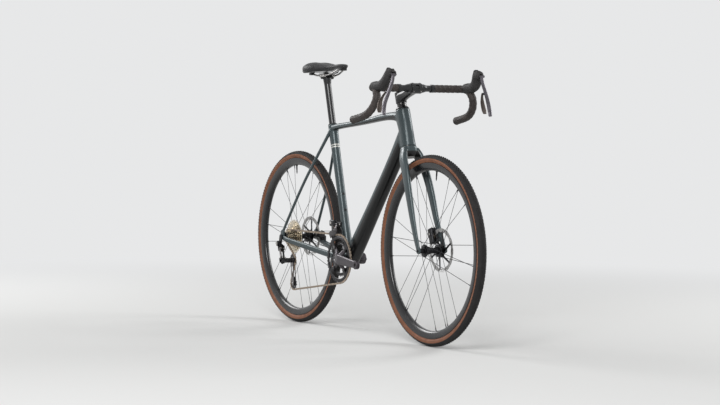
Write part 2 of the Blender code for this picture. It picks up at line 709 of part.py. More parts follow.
def top_tube_shape():
    """The slim top tube, which deepens into the head tube."""
    rear, front = on_seat(SEAT_TUBE_LENGTH - 0.016), on_head(-0.004, 0, HEAD_TUBE_TOP - 0.0295)
    return tube([(between(rear, front, share, rise), half_side, half_up)
                 for share, rise, half_side, half_up in TOP_TUBE], count=12, squareness=2.4)


def gusset_shape():
    """The web behind the head tube, which fills the corners with the top tube and the down tube."""
    middle = (HEAD_TUBE_BOTTOM + HEAD_TUBE_TOP) / 2
    return tube([(on_head(-0.0160, 0, HEAD_TUBE_TOP - 0.026), 0.0180, 0.0260),
                 (on_head(-0.0120, 0, middle + 0.014), 0.0170, 0.0250),
                 (on_head(-0.0110, 0, middle - 0.014), 0.0170, 0.0250),
                 (on_head(-0.0140, 0, HEAD_TUBE_BOTTOM + 0.050), 0.0180, 0.0260)], count=12)


def bottle_boss(tube_point, normal):
    """A threaded insert's round pad, proud of the tube."""
    return rod(tube_point - normal * 0.006, tube_point + normal * BOSS_HEIGHT, BOSS_RADIUS, sides=12)


def front_triangle():
    """Head tube, top tube, down tube, seat tube and bottom bracket shell, moulded as one piece."""
    frame = joined(down_tube_shape(), head_tube_shape(), top_tube_shape(), gusset_shape(),
                   seat_tube_shape(), shell_shape())
    seat_bosses = [bottle_boss(on_seat(up, 0.0165), SEAT_FORWARD) for up in SEAT_BOSSES]
    down_along = (down_tube_point(3) - down_tube_point(2)).normalized()
    down_normal = Vector((-down_along.z, 0, down_along.x))
    down_middle = down_tube_point(2) + down_normal * (DOWN_TUBE[2][3] - 0.0004)
    down_bosses = [bottle_boss(down_middle + down_along * (way * BOSS_SPACING / 2), down_normal)
                   for way in (-1, 1)]
    derailleur_tab = block(on_seat(0.130, -0.004, -0.0159), (0.018, 0.006, 0.018))
    frame = joined(frame, *seat_bosses, *down_bosses, derailleur_tab)
    shell_bore = rod(CRANK_AXIS - LEFT * 0.05, CRANK_AXIS + LEFT * 0.05, SHELL_BORE, sides=20)
    post_bore = rod(on_seat(SEATPOST_BOTTOM - SEATPOST_DROP - 0.002), on_seat(SEAT_TUBE_LENGTH + 0.03),
                    SEATPOST_RADIUS + GAP, sides=20)
    bearing_seat = BEARING_HEIGHT + GAP * 2
    steerer_bore = turned([(0, HEAD_TUBE_TOP + 0.02), (UPPER_BEARING_RADIUS + GAP, HEAD_TUBE_TOP + 0.02),
                           (UPPER_BEARING_RADIUS + GAP, HEAD_TUBE_TOP - bearing_seat),
                           (HEAD_TUBE_BORE, HEAD_TUBE_TOP - bearing_seat),
                           (HEAD_TUBE_BORE, HEAD_TUBE_BOTTOM + bearing_seat),
                           (LOWER_BEARING_RADIUS + GAP, HEAD_TUBE_BOTTOM + bearing_seat),
                           (LOWER_BEARING_RADIUS + GAP, HEAD_TUBE_BOTTOM - 0.02),
                           (0, HEAD_TUBE_BOTTOM - 0.02)],
                          STEER_FOOT, HEAD_UP, 18, closed=False)
    return piece("front_triangle", cut(frame, shell_bore, post_bore, steerer_bore), "frame_paint")


def chainstay_stations(side):
    """One chainstay's run, from its yoke behind the bottom bracket to the dropout."""
    return [(from_rear(BB_RUN - 0.0170, side * 0.0180, 0.2840), 0.0120, 0.0150),
            (from_rear(BB_RUN - 0.0590, side * 0.0268, 0.2870), 0.0078, 0.0125),
            (from_rear(BB_RUN - 0.1190, side * 0.0330, 0.2930), 0.0078, 0.0102),
            (from_rear(0.1500, side * 0.0545, 0.3160), 0.0078, 0.0098),
            (from_rear(0.0500, side * 0.0700, 0.3315), 0.0072, 0.0095),
            (from_rear(0.0080, side * (REAR_HUB_WIDTH / 2 + GAP + DROPOUT_THICKNESS / 2), 0.3410),
             0.0040, 0.0090)]


def seatstay_point(side, share):
    """A point along a seatstay, from the seat cluster at 0 to the dropout at 1."""
    up, forward, out = STAY_TOP
    top = on_seat(SEAT_TUBE_LENGTH + up, forward, side * out)
    foot = from_rear(STAY_FOOT[0], side * (REAR_HUB_WIDTH / 2 + GAP + DROPOUT_THICKNESS / 2),
                     STAY_FOOT[1])
    bow = side * 0.010 * math.sin(math.pi * share)
    return top.lerp(foot, share) + LEFT * bow


def dropout(side):
    """A dropout plate round the axle, with stubs for its two stays."""
    middle = REAR_HUB_WIDTH / 2 + GAP + DROPOUT_THICKNESS / 2
    body = plate([capsule((0.0, 0.0), (0.003, 0.016), 0.0125)], DROPOUT_THICKNESS,
                 REAR_AXLE + LEFT * (side * middle))
    foot = seatstay_point(side, 1.0)
    run = (seatstay_point(side, 1.0) - seatstay_point(side, STAY_SPLIT)).normalized()
    start = seatstay_point(side, STAY_SPLIT) + run * GAP
    stub = tube([(start, 0.0042, 0.0058), (foot, 0.0039, 0.0075), (foot + run * 0.006, 0.0036, 0.008)],
                count=10)
    return joined(body, stub)


def axle_bore(centre):
    """A cutter for a thru axle's hole."""
    return rod(centre - LEFT * 0.1, centre + LEFT * 0.1, AXLE_RADIUS + GAP, sides=18)


def chainstays():
    """Both chainstays with their yoke and dropouts."""
    stays = None
    for side in (-1, 1):
        arm = joined(tube(chainstay_stations(side), count=10), dropout(side))
        stays = arm if stays is None else joined(stays, arm)
    yoke = tube([(CRANK_AXIS + Vector((-0.0160, y, 0.0040)), 0.0150, 0.0120) for y in (-0.020, 0.020)],
                count=12, side=UP)
    stays = joined(stays, yoke)
    stays = cut(stays, shell_shape(GAP), seat_tube_shape(GAP), axle_bore(REAR_AXLE))
    return piece("chainstays", stays, "frame_paint")


def seatstays():
    """Both seatstays with the bridge that bonds them to the seat tube."""
    stays = None
    for side in (-1, 1):
        arm = tube([(seatstay_point(side, 0.00), 0.0072, 0.0085),
                    (seatstay_point(side, 0.12), 0.0055, 0.0068),
                    (seatstay_point(side, 0.50), 0.0048, 0.0062),
                    (seatstay_point(side, 0.85), 0.0048, 0.0060),
                    (seatstay_point(side, STAY_SPLIT), 0.0042, 0.0058)], count=10)
        stays = arm if stays is None else joined(stays, arm)
    bridge_place = on_seat(SEAT_TUBE_LENGTH + STAY_TOP[0], STAY_TOP[1]) - Vector((0.020, 0, 0.014))
    bridge = tube([(bridge_place + LEFT * y, 0.0085, 0.0100) for y in (-0.014, 0.014)], count=12, side=UP)
    stays = cut(joined(stays, bridge), seat_tube_shape(GAP))
    return piece("seatstays", stays, "frame_paint")


# Fork and steering stack

def fork_blade(side, grow=0.0):
    """One fork blade, from the crown to the dropout."""
    stations = [(on_head(forward, side * out, share * HEAD_TUBE_BOTTOM), half_side, half_up)
                for forward, out, share, half_side, half_up in FORK_STATIONS]
    return tube(stations, count=10, squareness=2.4, grow=grow)


def fork(empty):
    """Fork blades, crown, dropouts and tapered steerer as one piece."""
    top = HEAD_TUBE_BOTTOM - GAP
    crown = tube([(on_head(0.001, 0, HEAD_TUBE_BOTTOM - 0.039), 0.0250, 0.0200),
                  (on_head(0.001, 0, HEAD_TUBE_BOTTOM - 0.028), 0.0330, 0.0255),
                  (on_head(0.000, 0, HEAD_TUBE_BOTTOM - 0.013), 0.0325, 0.0288),
                  (on_head(0.000, 0, top), 0.0282, 0.0295)], count=16, squareness=2.3)
    steerer_top = STEM_BOTTOM + STEM_HEIGHT - 0.003
    steerer = turned([(0, steerer_top), (STEERER_RADIUS, steerer_top),
                      (STEERER_RADIUS, HEAD_TUBE_BOTTOM + 0.097),
                      (STEERER_BASE_RADIUS, HEAD_TUBE_BOTTOM + 0.037),
                      (STEERER_BASE_RADIUS, top - 0.012), (0, top - 0.012)],
                     STEER_FOOT, HEAD_UP, 18, closed=False)
    made = joined(crown, steerer)
    for side in (-1, 1):
        boss = rod(FRONT_AXLE + LEFT * (side * FORK_INSIDE), FRONT_AXLE + LEFT * (side * FORK_OUTSIDE),
                   0.0115, sides=18)
        made = joined(made, fork_blade(side), boss)
    between_tips = rod(FRONT_AXLE - LEFT * FORK_INSIDE, FRONT_AXLE + LEFT * FORK_INSIDE, 0.024, sides=18)
    made = cut(made, between_tips, axle_bore(FRONT_AXLE))
    for side in (-1, 1):
        face = FRONT_AXLE + LEFT * (side * FORK_OUTSIDE)
        made = cut(made, rod(face, face + LEFT * (side * 0.010), AXLE_RADIUS + 0.0035, sides=18))
    return piece("fork", made, "frame_paint", empty)


def headset(steering):
    """Both headset bearings in the frame, then the cover and spacer that turn with the fork."""
    low = HEAD_TUBE_BOTTOM + GAP
    lower = ring_solid(STEERER_BASE_RADIUS + GAP, LOWER_BEARING_RADIUS, low, low + BEARING_HEIGHT,
                       STEER_FOOT, HEAD_UP, 18)
    piece("headset_bearing_lower", lower, "steel")
    high = HEAD_TUBE_TOP - GAP
    upper = ring_solid(STEERER_RADIUS + GAP, UPPER_BEARING_RADIUS, high - BEARING_HEIGHT, high,
                       STEER_FOOT, HEAD_UP, 18)
    piece("headset_bearing_upper", upper, "steel")
    base = HEAD_TUBE_TOP + GAP
    bore = STEERER_RADIUS + GAP
    top = base + CAP_HEIGHT + SPACER_HEIGHT
    cover = turned([(SPACER_RADIUS, top), (SPACER_RADIUS, base + CAP_HEIGHT), (0.0234, base + 0.0010),
                    (0.0234, base), (bore, base), (bore, top)], STEER_FOOT, HEAD_UP, 18)
    piece("headset_cover", cover, "black_carbon", steering)


def bar_clamp_parts():
    """The barrel round the bar and the hole through it."""
    half = LEFT * BAR_CLAMP_WIDTH / 2
    barrel = rod(BAR_CENTRE - half, BAR_CENTRE + half, BAR_CLAMP_RADIUS + GAP + STEM_WALL, sides=20)
    hole = rod(BAR_CENTRE - half * 2, BAR_CENTRE + half * 2, BAR_CLAMP_RADIUS + GAP, sides=20)
    return barrel, hole


def half_space(forward, ahead):
    """A large block ahead of, or behind, a plane square to the stem's reach."""
    size = 0.100
    place = STEER_FOOT + HEAD_UP * BAR_UP + HEAD_FORWARD * (forward + (size / 2 if ahead else -size / 2))
    return block(place, (size, size, size), Matrix.Rotation(math.radians(HEAD_ANGLE - 90), 4, "Y"))


def stem(steering):
    """The stem with its top cap, and the faceplate."""
    low, high = STEM_BOTTOM, STEM_BOTTOM + STEM_HEIGHT
    body = rod(on_head(0, 0, low), on_head(0, 0, high), STEERER_RADIUS + GAP + STEM_WALL, sides=20)
    reach = tube([(on_head(0.006, 0, BAR_UP), 0.0165, 0.0175), (on_head(0.045, 0, BAR_UP), 0.0150, 0.0150),
                  (on_head(STEM_LENGTH - 0.012, 0, BAR_UP), 0.0190, 0.0155)], count=14, squareness=2.6)
    barrel, bar_hole = bar_clamp_parts()
    body = joined(body, reach, barrel)
    steerer_hole = rod(on_head(0, 0, low - 0.01), on_head(0, 0, high + 0.01), STEERER_RADIUS + GAP, sides=20)
    body = cut(body, steerer_hole, bar_hole, half_space(STEM_LENGTH + 0.0007, True))
    cap = turned([(0, high + 0.0042), (0.0130, high + 0.0042), (0.0170, high + 0.0022),
                  (0.0170, high - 0.0012), (0, high - 0.0012)], STEER_FOOT, HEAD_UP, 20, closed=False)
    piece("stem", joined(body, cap), "black_carbon", steering)
    barrel, bar_hole = bar_clamp_parts()
    faceplate = cut(barrel, bar_hole, half_space(STEM_LENGTH + 0.0007 + GAP * 2, False))
    piece("stem_faceplate", faceplate, "black_carbon", steering)


# Handlebar and controls

def bar_half(side, start):
    """The handlebar's centre line on one side, from a distance off the middle to its end."""
    straight = [on_bar(0.0, side * y, 0.0) for y in (start, (start + 0.15) / 2)]
    hook = [on_bar(forward, side * (hook_width(up) if out is None else out), up)
            for forward, out, up in HOOK_POINTS]
    return straight + smooth_route(hook, 2)


def handlebar(steering):
    """The bar, thicker where the stem holds it, with its tape."""
    right, left = bar_half(-1, TAPE_START), bar_half(1, TAPE_START)
    middle = [on_bar(0, side * y, 0) for side, y in ((-1, 0.034), (-1, 0.026), (1, 0.026), (1, 0.034))]
    route = list(reversed(right)) + middle + left
    thick = BAR_CLAMP_RADIUS / BAR_RADIUS
    radii = [1.0] * len(right) + [thick * 0.97, thick, thick, thick * 0.97] + [1.0] * len(left)
    piece("handlebar", wire(route, BAR_RADIUS, resolution=2, radii=radii), "black_carbon", steering)
    for side, label in ((-1, "right"), (1, "left")):
        sleeve = wire(bar_half(side, TAPE_START), BAR_RADIUS + GAP + TAPE_THICKNESS, resolution=2,
                      clear=BAR_RADIUS + GAP)
        piece(f"bar_tape_{label}", sleeve, "bar_tape", steering)


def control_tube(stations, side, count, bows=None):
    """A body along a hook's own plane, from (forward, up, half width, half depth) and how far
    each station stands outside that plane."""
    bows = bows or [0.0] * len(stations)
    return tube([(on_bar(forward, side * (hook_width(up) + bow), up), half_side, half_up)
                 for (forward, up, half_side, half_up), bow in zip(stations, bows)],
                count=count, squareness=2.4)


def control_point(place, side, bow=0.0):
    """A point in a hook's own plane, or outside it by a bow."""
    forward, up = place
    return on_bar(forward, side * (hook_width(up) + bow), up)


def controls(side, label, steering):
    """One side's hood, brake lever and shift paddle."""
    pivot = control_point(LEVER_PIVOT, side)
    boss_half = LEFT * LEVER_BOSS_WIDTH / 2
    slot_half = LEFT * (LEVER_BOSS_WIDTH / 2 + GAP)
    slot = rod(pivot - slot_half, pivot + slot_half, LEVER_BOSS_RADIUS + 0.004, sides=14)
    covered_bar = wire(bar_half(side, TAPE_START), BAR_RADIUS + TAPE_THICKNESS + GAP * 2)
    hood = cut(control_tube(HOOD_STATIONS, side, 12), covered_bar, slot)
    piece(f"hood_{label}", hood, "hood_rubber", steering)
    lever_empty = joint_empty(f"lever_axis_{label}", pivot, steering)
    boss = rod(pivot - boss_half, pivot + boss_half, LEVER_BOSS_RADIUS, sides=14)
    forward, up = PADDLE_PIVOT
    paddle_front = control_point((forward + PADDLE_BOSS_FRONT, up), side, PADDLE_BOW[0])
    ear = rod(paddle_front + FORWARD * GAP, control_point((LEVER_BLADE[2][0], up), side, PADDLE_BOW[0]),
              0.0045, sides=12)
    lever = joined(boss, control_tube(LEVER_BLADE, side, 10, LEVER_BOW), ear)
    piece(f"brake_lever_{label}", lever, "lever_alloy", lever_empty)
    paddle_pivot = control_point(PADDLE_PIVOT, side, PADDLE_BOW[0])
    paddle_empty = joint_empty(f"paddle_axis_{label}", paddle_pivot, lever_empty)
    paddle_boss = rod(paddle_pivot - FORWARD * 0.0020, paddle_front, PADDLE_BOSS_RADIUS, sides=12)
    paddle = joined(paddle_boss, control_tube(PADDLE_BLADE, side, 8, PADDLE_BOW))
    piece(f"shift_paddle_{label}", paddle, "black_alloy", paddle_empty)


# Saddle and seatpost

def saddle_section(share, half, top, low, channel):
    """Half the saddle's section doubled about the middle: crown, rounded edge and flat base."""
    along = SADDLE_LENGTH * share
    thick = top - low
    outline = [(0.00, top - channel), (0.22, top - channel * 0.3), (0.45, top - thick * 0.04),
               (0.78, top - thick * 0.22), (0.97, top - thick * 0.52), (0.98, top - thick * 0.80),
               (0.86, low), (0.45, low)]
    right = [on_saddle(along, -half * share_out, up) for share_out, up in outline]
    left = [on_saddle(along, half * share_out, up) for share_out, up in reversed(outline[1:])]
    return right + left


def saddle(seat):
    """Cushion, shell and rails."""
    rings = []
    for share, half, top, low in SADDLE_STATIONS:
        channel = 0.004 * math.sin(math.pi * min(1.0, max(0.0, (share - 0.1) / 0.75)))
        rings.append(saddle_section(share, half, top, low + CUSHION_BASE, channel))
    piece("saddle_cushion", loft(rings), "saddle_cover", seat)
    shell_rings = []
    for share, half, top, low in SADDLE_STATIONS:
        high = low + CUSHION_BASE - GAP
        thick = 0.0060
        row = [(1.0, high), (0.94, high - thick), (-0.94, high - thick), (-1.0, high)]
        shell_rings.append([on_saddle(SADDLE_LENGTH * share, half * 0.86 * out, up) for out, up in row])
    rear_sockets = [block(on_saddle(0.0280, side * (RAIL_SPACING / 2 + 0.0095), -0.0330),
                          (0.020, 0.016, 0.014)) for side in (-1, 1)]
    nose_socket = block(on_saddle(0.2220, 0, -0.0185), (0.022, 0.028, 0.014))
    shell = joined(loft(shell_rings), *rear_sockets, nose_socket)
    rails = rail_route()
    longer = [rails[0] + (rails[0] - rails[1]).normalized() * GAP * 2, *rails[1:-1],
              rails[-1] + (rails[-1] - rails[-2]).normalized() * GAP * 2]
    sockets = wire(longer, (RAIL_RADIUS + GAP) / flatness(2))
    piece("saddle_shell", cut(shell, sockets), "black_carbon", seat)
    piece("saddle_rails", wire(rails, RAIL_RADIUS), "steel", seat)


def rail_route():
    """The rails' centre line: one bar, from the back right, round the nose, to the back left."""
    half = RAIL_SPACING / 2
    straight = RAIL_HEIGHT - SADDLE_HEIGHT
    rear = [on_saddle(0.0240, -half - 0.012, -0.0310), on_saddle(0.0370, -half - 0.004, -0.0375),
            on_saddle(0.0540, -half, straight)]
    front = [on_saddle(0.1300, -half, straight), on_saddle(0.1600, -half + 0.003, -0.0365),
             on_saddle(0.2020, -half + 0.009, -0.0240), on_saddle(0.2240, -half + 0.016, -0.0200)]
    right = smooth_route(rear, 2) + smooth_route(front, 2)
    return right + [Vector((p.x, -p.y, p.z)) for p in reversed(right)]


def clamp_place(up):
    """The middle of the rails' clamp, at a height above their straight runs."""
    return on_saddle(SADDLE_BACK, 0, RAIL_HEIGHT - SADDLE_HEIGHT + up)


def rail_grooves():
    """Cutters for the two straight runs of the rails."""
    half = RAIL_SPACING / 2
    middle = clamp_place(0)
    return [rod(middle + Vector((-0.05, side * half, 0)), middle + Vector((0.05, side * half, 0)),
                (RAIL_RADIUS + GAP) / math.cos(math.pi / 12), sides=12) for side in (-1, 1)]


def seatpost(seat):
    """The post with the cradle and yoke that clamp the rails."""
    post = rod(on_seat(SEATPOST_BOTTOM), on_seat(SEATPOST_TOP), SEATPOST_RADIUS, sides=20)
    cradle = block(clamp_place(-0.0025), (0.038, RAIL_SPACING + 0.012, 0.0200))
    neck = rod(on_seat(SEATPOST_TOP - 0.012), clamp_place(-0.010), SEATPOST_RADIUS, sides=16,
               end_radius=0.0175)
    piece("seatpost", cut(joined(post, neck, cradle), *rail_grooves()), "black_carbon", seat)


# Cranks, chainrings and bottom bracket

def spider_gap(angle):
    """How far an angle is from the nearest of the four spider arms."""
    return min((angle - SPIDER_TURN) % 90, -(angle - SPIDER_TURN) % 90)


def chainring(name, teeth, ring_y, finish, empty, clearance):
    """A chainring with four tabs for the spider; its rim stays inside the chain's band."""
    outer = pitch_radius(teeth) - clearance
    inner = outer - 0.0150
    rim = plate([polar_outline(44, lambda a: outer),
                 polar_outline(48, lambda a: min(inner, TAB_RADIUS) if spider_gap(a) < 12 else inner)],
                RING_THICKNESS, CRANK_AXIS + LEFT * ring_y)
    return piece(name, rim, finish, empty)


def crank_arm(side):
    """One crank arm with its bosses for the spindle and the pedal."""
    angle = math.radians(-CRANK_DROP if side < 0 else 180.0 - CRANK_DROP)
    along = Vector((math.cos(angle), 0, math.sin(angle)))
    outer_face = CRANK_TREAD / 2
    stations = [(-0.004, 0.0570, 0.0070, 0.0200), (0.045, 0.0595, 0.0068, 0.0190),
                (0.110, 0.0640, 0.0064, 0.0158), (CRANK_LENGTH, outer_face - 0.0066, 0.0062, 0.0140)]
    arm = tube([(CRANK_AXIS + along * out + LEFT * (side * y), half_side, half_up)
                for out, y, half_side, half_up in stations], count=10, squareness=2.8)
    pedal = CRANK_AXIS + along * CRANK_LENGTH
    boss = rod(CRANK_AXIS + LEFT * (side * SHELL_WIDTH / 2),
               CRANK_AXIS + LEFT * (side * (SPINDLE_LENGTH / 2 + 0.0015)), 0.0215, sides=18)
    eye = rod(pedal + LEFT * (side * (outer_face - 0.0142)), pedal + LEFT * (side * outer_face),
              0.0165, sides=16)
    pedal_hole = rod(pedal + LEFT * (side * 0.050), pedal + LEFT * (side * 0.090), PEDAL_HOLE_RADIUS,
                     sides=14)
    return cut(joined(arm, boss, eye), pedal_hole)


def cup_room(side):
    """A cutter that keeps a crank arm clear of the bottom bracket's cup."""
    end = SHELL_WIDTH / 2 + CUP_WIDTH + GAP * 2
    return rod(CRANK_AXIS, CRANK_AXIS + LEFT * (side * end), CUP_RADIUS + 0.0010, sides=18)


def cranks(empty):
    """The right arm with its spider and spindle, the left arm and both chainrings."""
    near = -INNER_RING_Y + RING_THICKNESS / 2 + GAP
    far = -OUTER_RING_Y - RING_THICKNESS / 2 - GAP
    spider = plate([polar_outline(44, lambda a: SPIDER_RADIUS if spider_gap(a) < 11 else 0.0270)],
                   far - near, CRANK_AXIS - LEFT * (near + far) / 2)
    right = cut(joined(crank_arm(-1), spider), cup_room(-1))
    half = LEFT * SPINDLE_LENGTH / 2
    spindle = rod(CRANK_AXIS - half, CRANK_AXIS + half, SPINDLE_RADIUS, sides=18)
    piece("crank_arm_right", joined(right, spindle), "grey_alloy", empty)
    spindle_hole = rod(CRANK_AXIS + LEFT * 0.030, CRANK_AXIS + LEFT * 0.080, SPINDLE_RADIUS + GAP, sides=18)
    piece("crank_arm_left", cut(crank_arm(1), cup_room(1), spindle_hole), "grey_alloy", empty)
    under_chain = CHAIN_HEIGHT / 2 + GAP
    chainring("chainring_outer", OUTER_RING_TEETH, OUTER_RING_Y, "grey_alloy", empty, under_chain)
    chainring("chainring_inner", INNER_RING_TEETH, INNER_RING_Y, "black_alloy", empty, 0.0)


def bottom_bracket():
    """The two cups with their bearings and the sleeve between them."""
    face = SHELL_WIDTH / 2 + GAP
    end = face + CUP_WIDTH
    sleeve, bore = SHELL_BORE - GAP, SPINDLE_RADIUS + GAP
    profile = [(CUP_RADIUS, end), (CUP_RADIUS, face), (sleeve, face), (sleeve, -face),
               (CUP_RADIUS, -face), (CUP_RADIUS, -end), (bore, -end), (bore, end)]
    piece("bottom_bracket", turned(profile, CRANK_AXIS, LEFT, 18), "black_alloy")


# Cassette, chain and derailleurs

def cassette(empty):
    """Twelve cogs with their freehub body and its end cap, as one stepped solid on the axle."""
    bore = AXLE_RADIUS + GAP
    cap_end = -REAR_HUB_WIDTH / 2 + GAP
    body_radius = 0.0172
    steps = []
    for i, teeth in enumerate(COG_TEETH):
        reach = pitch_radius(teeth) + (0.0015 if i > CHAIN_COG + 1 else -CHAIN_HEIGHT / 2 - GAP)
        near = SMALL_COG_Y + COG_PITCH * i - COG_THICKNESS / 2
        steps.append((reach, near))
        steps.append((reach, near + (COG_PITCH if teeth != COG_TEETH[-1] else COG_THICKNESS)))
    start, end = steps[0][1], steps[-1][1]
    lockring = start - 0.0035
    profile = [(bore, cap_end), (CAP_RADIUS, cap_end), (CAP_RADIUS, lockring), (body_radius, lockring),
               (body_radius, start), *steps, (bore, end)]
    piece("cassette", turned(profile, REAR_AXLE, LEFT, 20), "gold_steel", empty)


def tangent(first, second):
    """The straight run from one circle to the next: each is (centre x, z, radius, turn)."""
    ax, az, ar, at = first
    bx, bz, br, bt = second
    dx, dz = bx - ax, bz - az
    span = math.hypot(dx, dz)
    heading = math.atan2(dz, dx)
    lean = math.asin((ar * at - br * bt) / span)
    normal = heading + lean - math.pi / 2
    start = (ax + ar * at * math.cos(normal), az + ar * at * math.sin(normal))
    end = (bx + br * bt * math.cos(normal), bz + br * bt * math.sin(normal))
    return start, end


def chain_route():
    """The chain's closed centre line: chainring, cog, guide pulley and tension pulley."""
    pulley = pitch_radius(PULLEY_TEETH)
    circles = [(CRANK_AXIS.x, CRANK_AXIS.z, pitch_radius(OUTER_RING_TEETH), 1, OUTER_RING_Y),
               (REAR_AXLE.x, REAR_AXLE.z, pitch_radius(COG_TEETH[CHAIN_COG]), 1, CHAIN_COG_Y),
               (CAGE_PIVOT.x, CAGE_PIVOT.z, pulley, -1, CHAIN_COG_Y),
               (TENSION_CENTRE.x, TENSION_CENTRE.z, pulley, 1, CHAIN_COG_Y)]
    count = len(circles)
    runs = [tangent(circles[i][:4], circles[(i + 1) % count][:4]) for i in range(count)]
    route = []
    for i in range(count):
        x, z, radius, turn, side = circles[i]
        arrive, leave = runs[i - 1][1], runs[i][0]
        begin = math.atan2(arrive[1] - z, arrive[0] - x)
        finish = math.atan2(leave[1] - z, leave[0] - x)
        sweep = ((finish - begin) * turn) % (2 * math.pi) * turn
        steps = max(3, round(abs(sweep) * (4.2 if radius > 0.05 else 3.2)))
        corner = radius / math.cos(sweep / steps / 2)
        for k in range(steps + 1):
            angle = begin + sweep * k / steps
            route.append(Vector((x + corner * math.cos(angle), side, z + corner * math.sin(angle))))
    return route


def chain():
    """The chain as one closed band."""
    route = chain_route()
    bm = bmesh.new()
    rows = []
    count = len(route)
    for i, point in enumerate(route):
        run = (route[(i + 1) % count] - route[i - 1]).normalized()
        normal = run.cross(LEFT).normalized() * (CHAIN_HEIGHT / 2)
        side = LEFT * (CHAIN_WIDTH / 2)
        rows.append([bm.verts.new(point + a + b) for a, b in
                     ((normal, side), (normal, -side), (-normal, -side), (-normal, side))])
    for i in range(count):
        low, high = rows[i], rows[(i + 1) % count]
        for k in range(4):
            bm.faces.new((low[k], low[(k + 1) % 4], high[(k + 1) % 4], high[k]))
    piece("chain", shape_from(bm), "chain_steel")


def hanger_shape(grow=0.0):
    """The derailleur hanger, outside the right dropout."""
    outside = REAR_HUB_WIDTH / 2 + GAP * 2 + DROPOUT_THICKNESS
    return plate([capsule((0.0, 0.0), HANGER_HOLE, 0.0095 + grow)], HANGER_THICKNESS + grow * 2,
                 REAR_AXLE - LEFT * (outside + HANGER_THICKNESS / 2))


def link_bar(head, foot):
    """A link between two pivots, with a round eye at each end."""
    half = LINK_AXIS * (LINK_EYE_LENGTH / 2)
    bar = tube([(head, 0.0026, 0.0050), (foot, 0.0026, 0.0050)], count=8, side=LINK_SWING)
    return joined(bar, *[rod(end - half, end + half, LINK_EYE_RADIUS, sides=12) for end in (head, foot)])


def cheeks(outer, inner, toward):
    """Two plates over the ends of a pair of eyes, joined by a post; it opens away from a direction."""
    middle = (outer + inner) / 2
    rise = LINK_EYE_LENGTH / 2 + GAP
    post_middle = middle + toward * 0.0160
    post_half = LINK_AXIS * (rise + 0.0020)
    shape = rod(post_middle - post_half, post_middle + post_half, 0.0065, sides=12)
    for way in (-1, 1):
        centre = middle + toward * 0.0065 + LINK_AXIS * (way * (rise + 0.0011))
        turn = Matrix((toward, LINK_SWING, toward.cross(LINK_SWING))).transposed().to_4x4()
        shape = joined(shape, block(centre, (0.0230, LINK_SPACING + 0.0100, 0.0022), turn))
    return shape, post_middle


def rear_derailleur(outer_empty, inner_empty, knuckle_empty, cage_empty, guide_empty, tension_empty):
    """Hanger, two knuckles, the two links between them, the cage and its pulleys."""
    piece("derailleur_hanger", cut(hanger_shape(), axle_bore(REAR_AXLE)), "black_alloy")

    face = REAR_HUB_WIDTH / 2 + GAP * 3 + DROPOUT_THICKNESS + HANGER_THICKNESS
    bolt = REAR_AXLE + Vector((HANGER_HOLE[0], -face, HANGER_HOLE[1]))
    knuckle, post = cheeks(OUTER_LINK_HEAD, INNER_LINK_HEAD, -LINK_RUN)
    arm = tube([(bolt - LEFT * 0.0065, 0.0060, 0.0090), (post, 0.0060, 0.0075)], count=10, side=LEFT)
    barrel = rod(bolt, bolt - LEFT * 0.0130, KNUCKLE_RADIUS, sides=16)
    knuckle = cut(joined(knuckle, barrel, arm), hanger_shape(GAP))
    piece("derailleur_b_knuckle", knuckle, "black_alloy")

    piece("derailleur_link_outer", link_bar(OUTER_LINK_HEAD, OUTER_LINK_FOOT), "grey_alloy", outer_empty)
    piece("derailleur_link_inner", link_bar(INNER_LINK_HEAD, INNER_LINK_FOOT), "black_alloy", inner_empty)

    outer_plate = CAGE_GAP / 2 + CAGE_PLATE
    barrel_start = CAGE_PIVOT - LEFT * (outer_plate + GAP)
    knuckle, post = cheeks(OUTER_LINK_FOOT, INNER_LINK_FOOT, LINK_RUN)
    barrel_end = Vector((CAGE_PIVOT.x, -0.0790, CAGE_PIVOT.z))
    barrel = rod(barrel_start, barrel_end, 0.0095, sides=16)
    arm = tube([(post + LINK_RUN * 0.0015, 0.0050, 0.0050),
                (barrel_end + Vector((0.0030, 0.0060, -0.0025)), 0.0050, 0.0055)], count=10, side=UP)
    knuckle = joined(knuckle, barrel, arm)
    stub_end = Vector((CAGE_PIVOT.x, -0.0680, CAGE_PIVOT.z))
    socket = rod(barrel_start + LEFT * 0.002, stub_end - LEFT * GAP, STUB_RADIUS + GAP, sides=14)
    knuckle = cut(knuckle, socket)
    piece("derailleur_p_knuckle", knuckle, "black_alloy", knuckle_empty)

    tension = TENSION_CENTRE
    ends = ((0.0, 0.0), (tension.x - CAGE_PIVOT.x, tension.z - CAGE_PIVOT.z))
    plates = [plate([capsule(*ends, CAGE_RADIUS)], CAGE_PLATE,
                    CAGE_PIVOT + LEFT * (way * (CAGE_GAP + CAGE_PLATE) / 2)) for way in (-1, 1)]
    reach = LEFT * (CAGE_GAP / 2 + CAGE_PLATE * 0.6)
    pins = [rod(end - reach, end + reach, CAGE_PIN, sides=12) for end in (CAGE_PIVOT, tension)]
    stub = rod(CAGE_PIVOT - LEFT * (CAGE_GAP / 2 + CAGE_PLATE / 2), stub_end, STUB_RADIUS, sides=14)
    cage = joined(plates[0], pins[0], pins[1], plates[1], stub)
    piece("derailleur_cage", cage, "black_alloy", cage_empty)

    radius = pitch_radius(PULLEY_TEETH) - CHAIN_HEIGHT / 2 - GAP
    for name, centre, empty in (("guide_pulley", CAGE_PIVOT, guide_empty),
                                ("tension_pulley", tension, tension_empty)):
        pulley = ring_solid(CAGE_PIN + GAP, radius, -PULLEY_WIDTH / 2, PULLEY_WIDTH / 2, centre, LEFT, 18)
        piece(name, pulley, "black_alloy", empty)


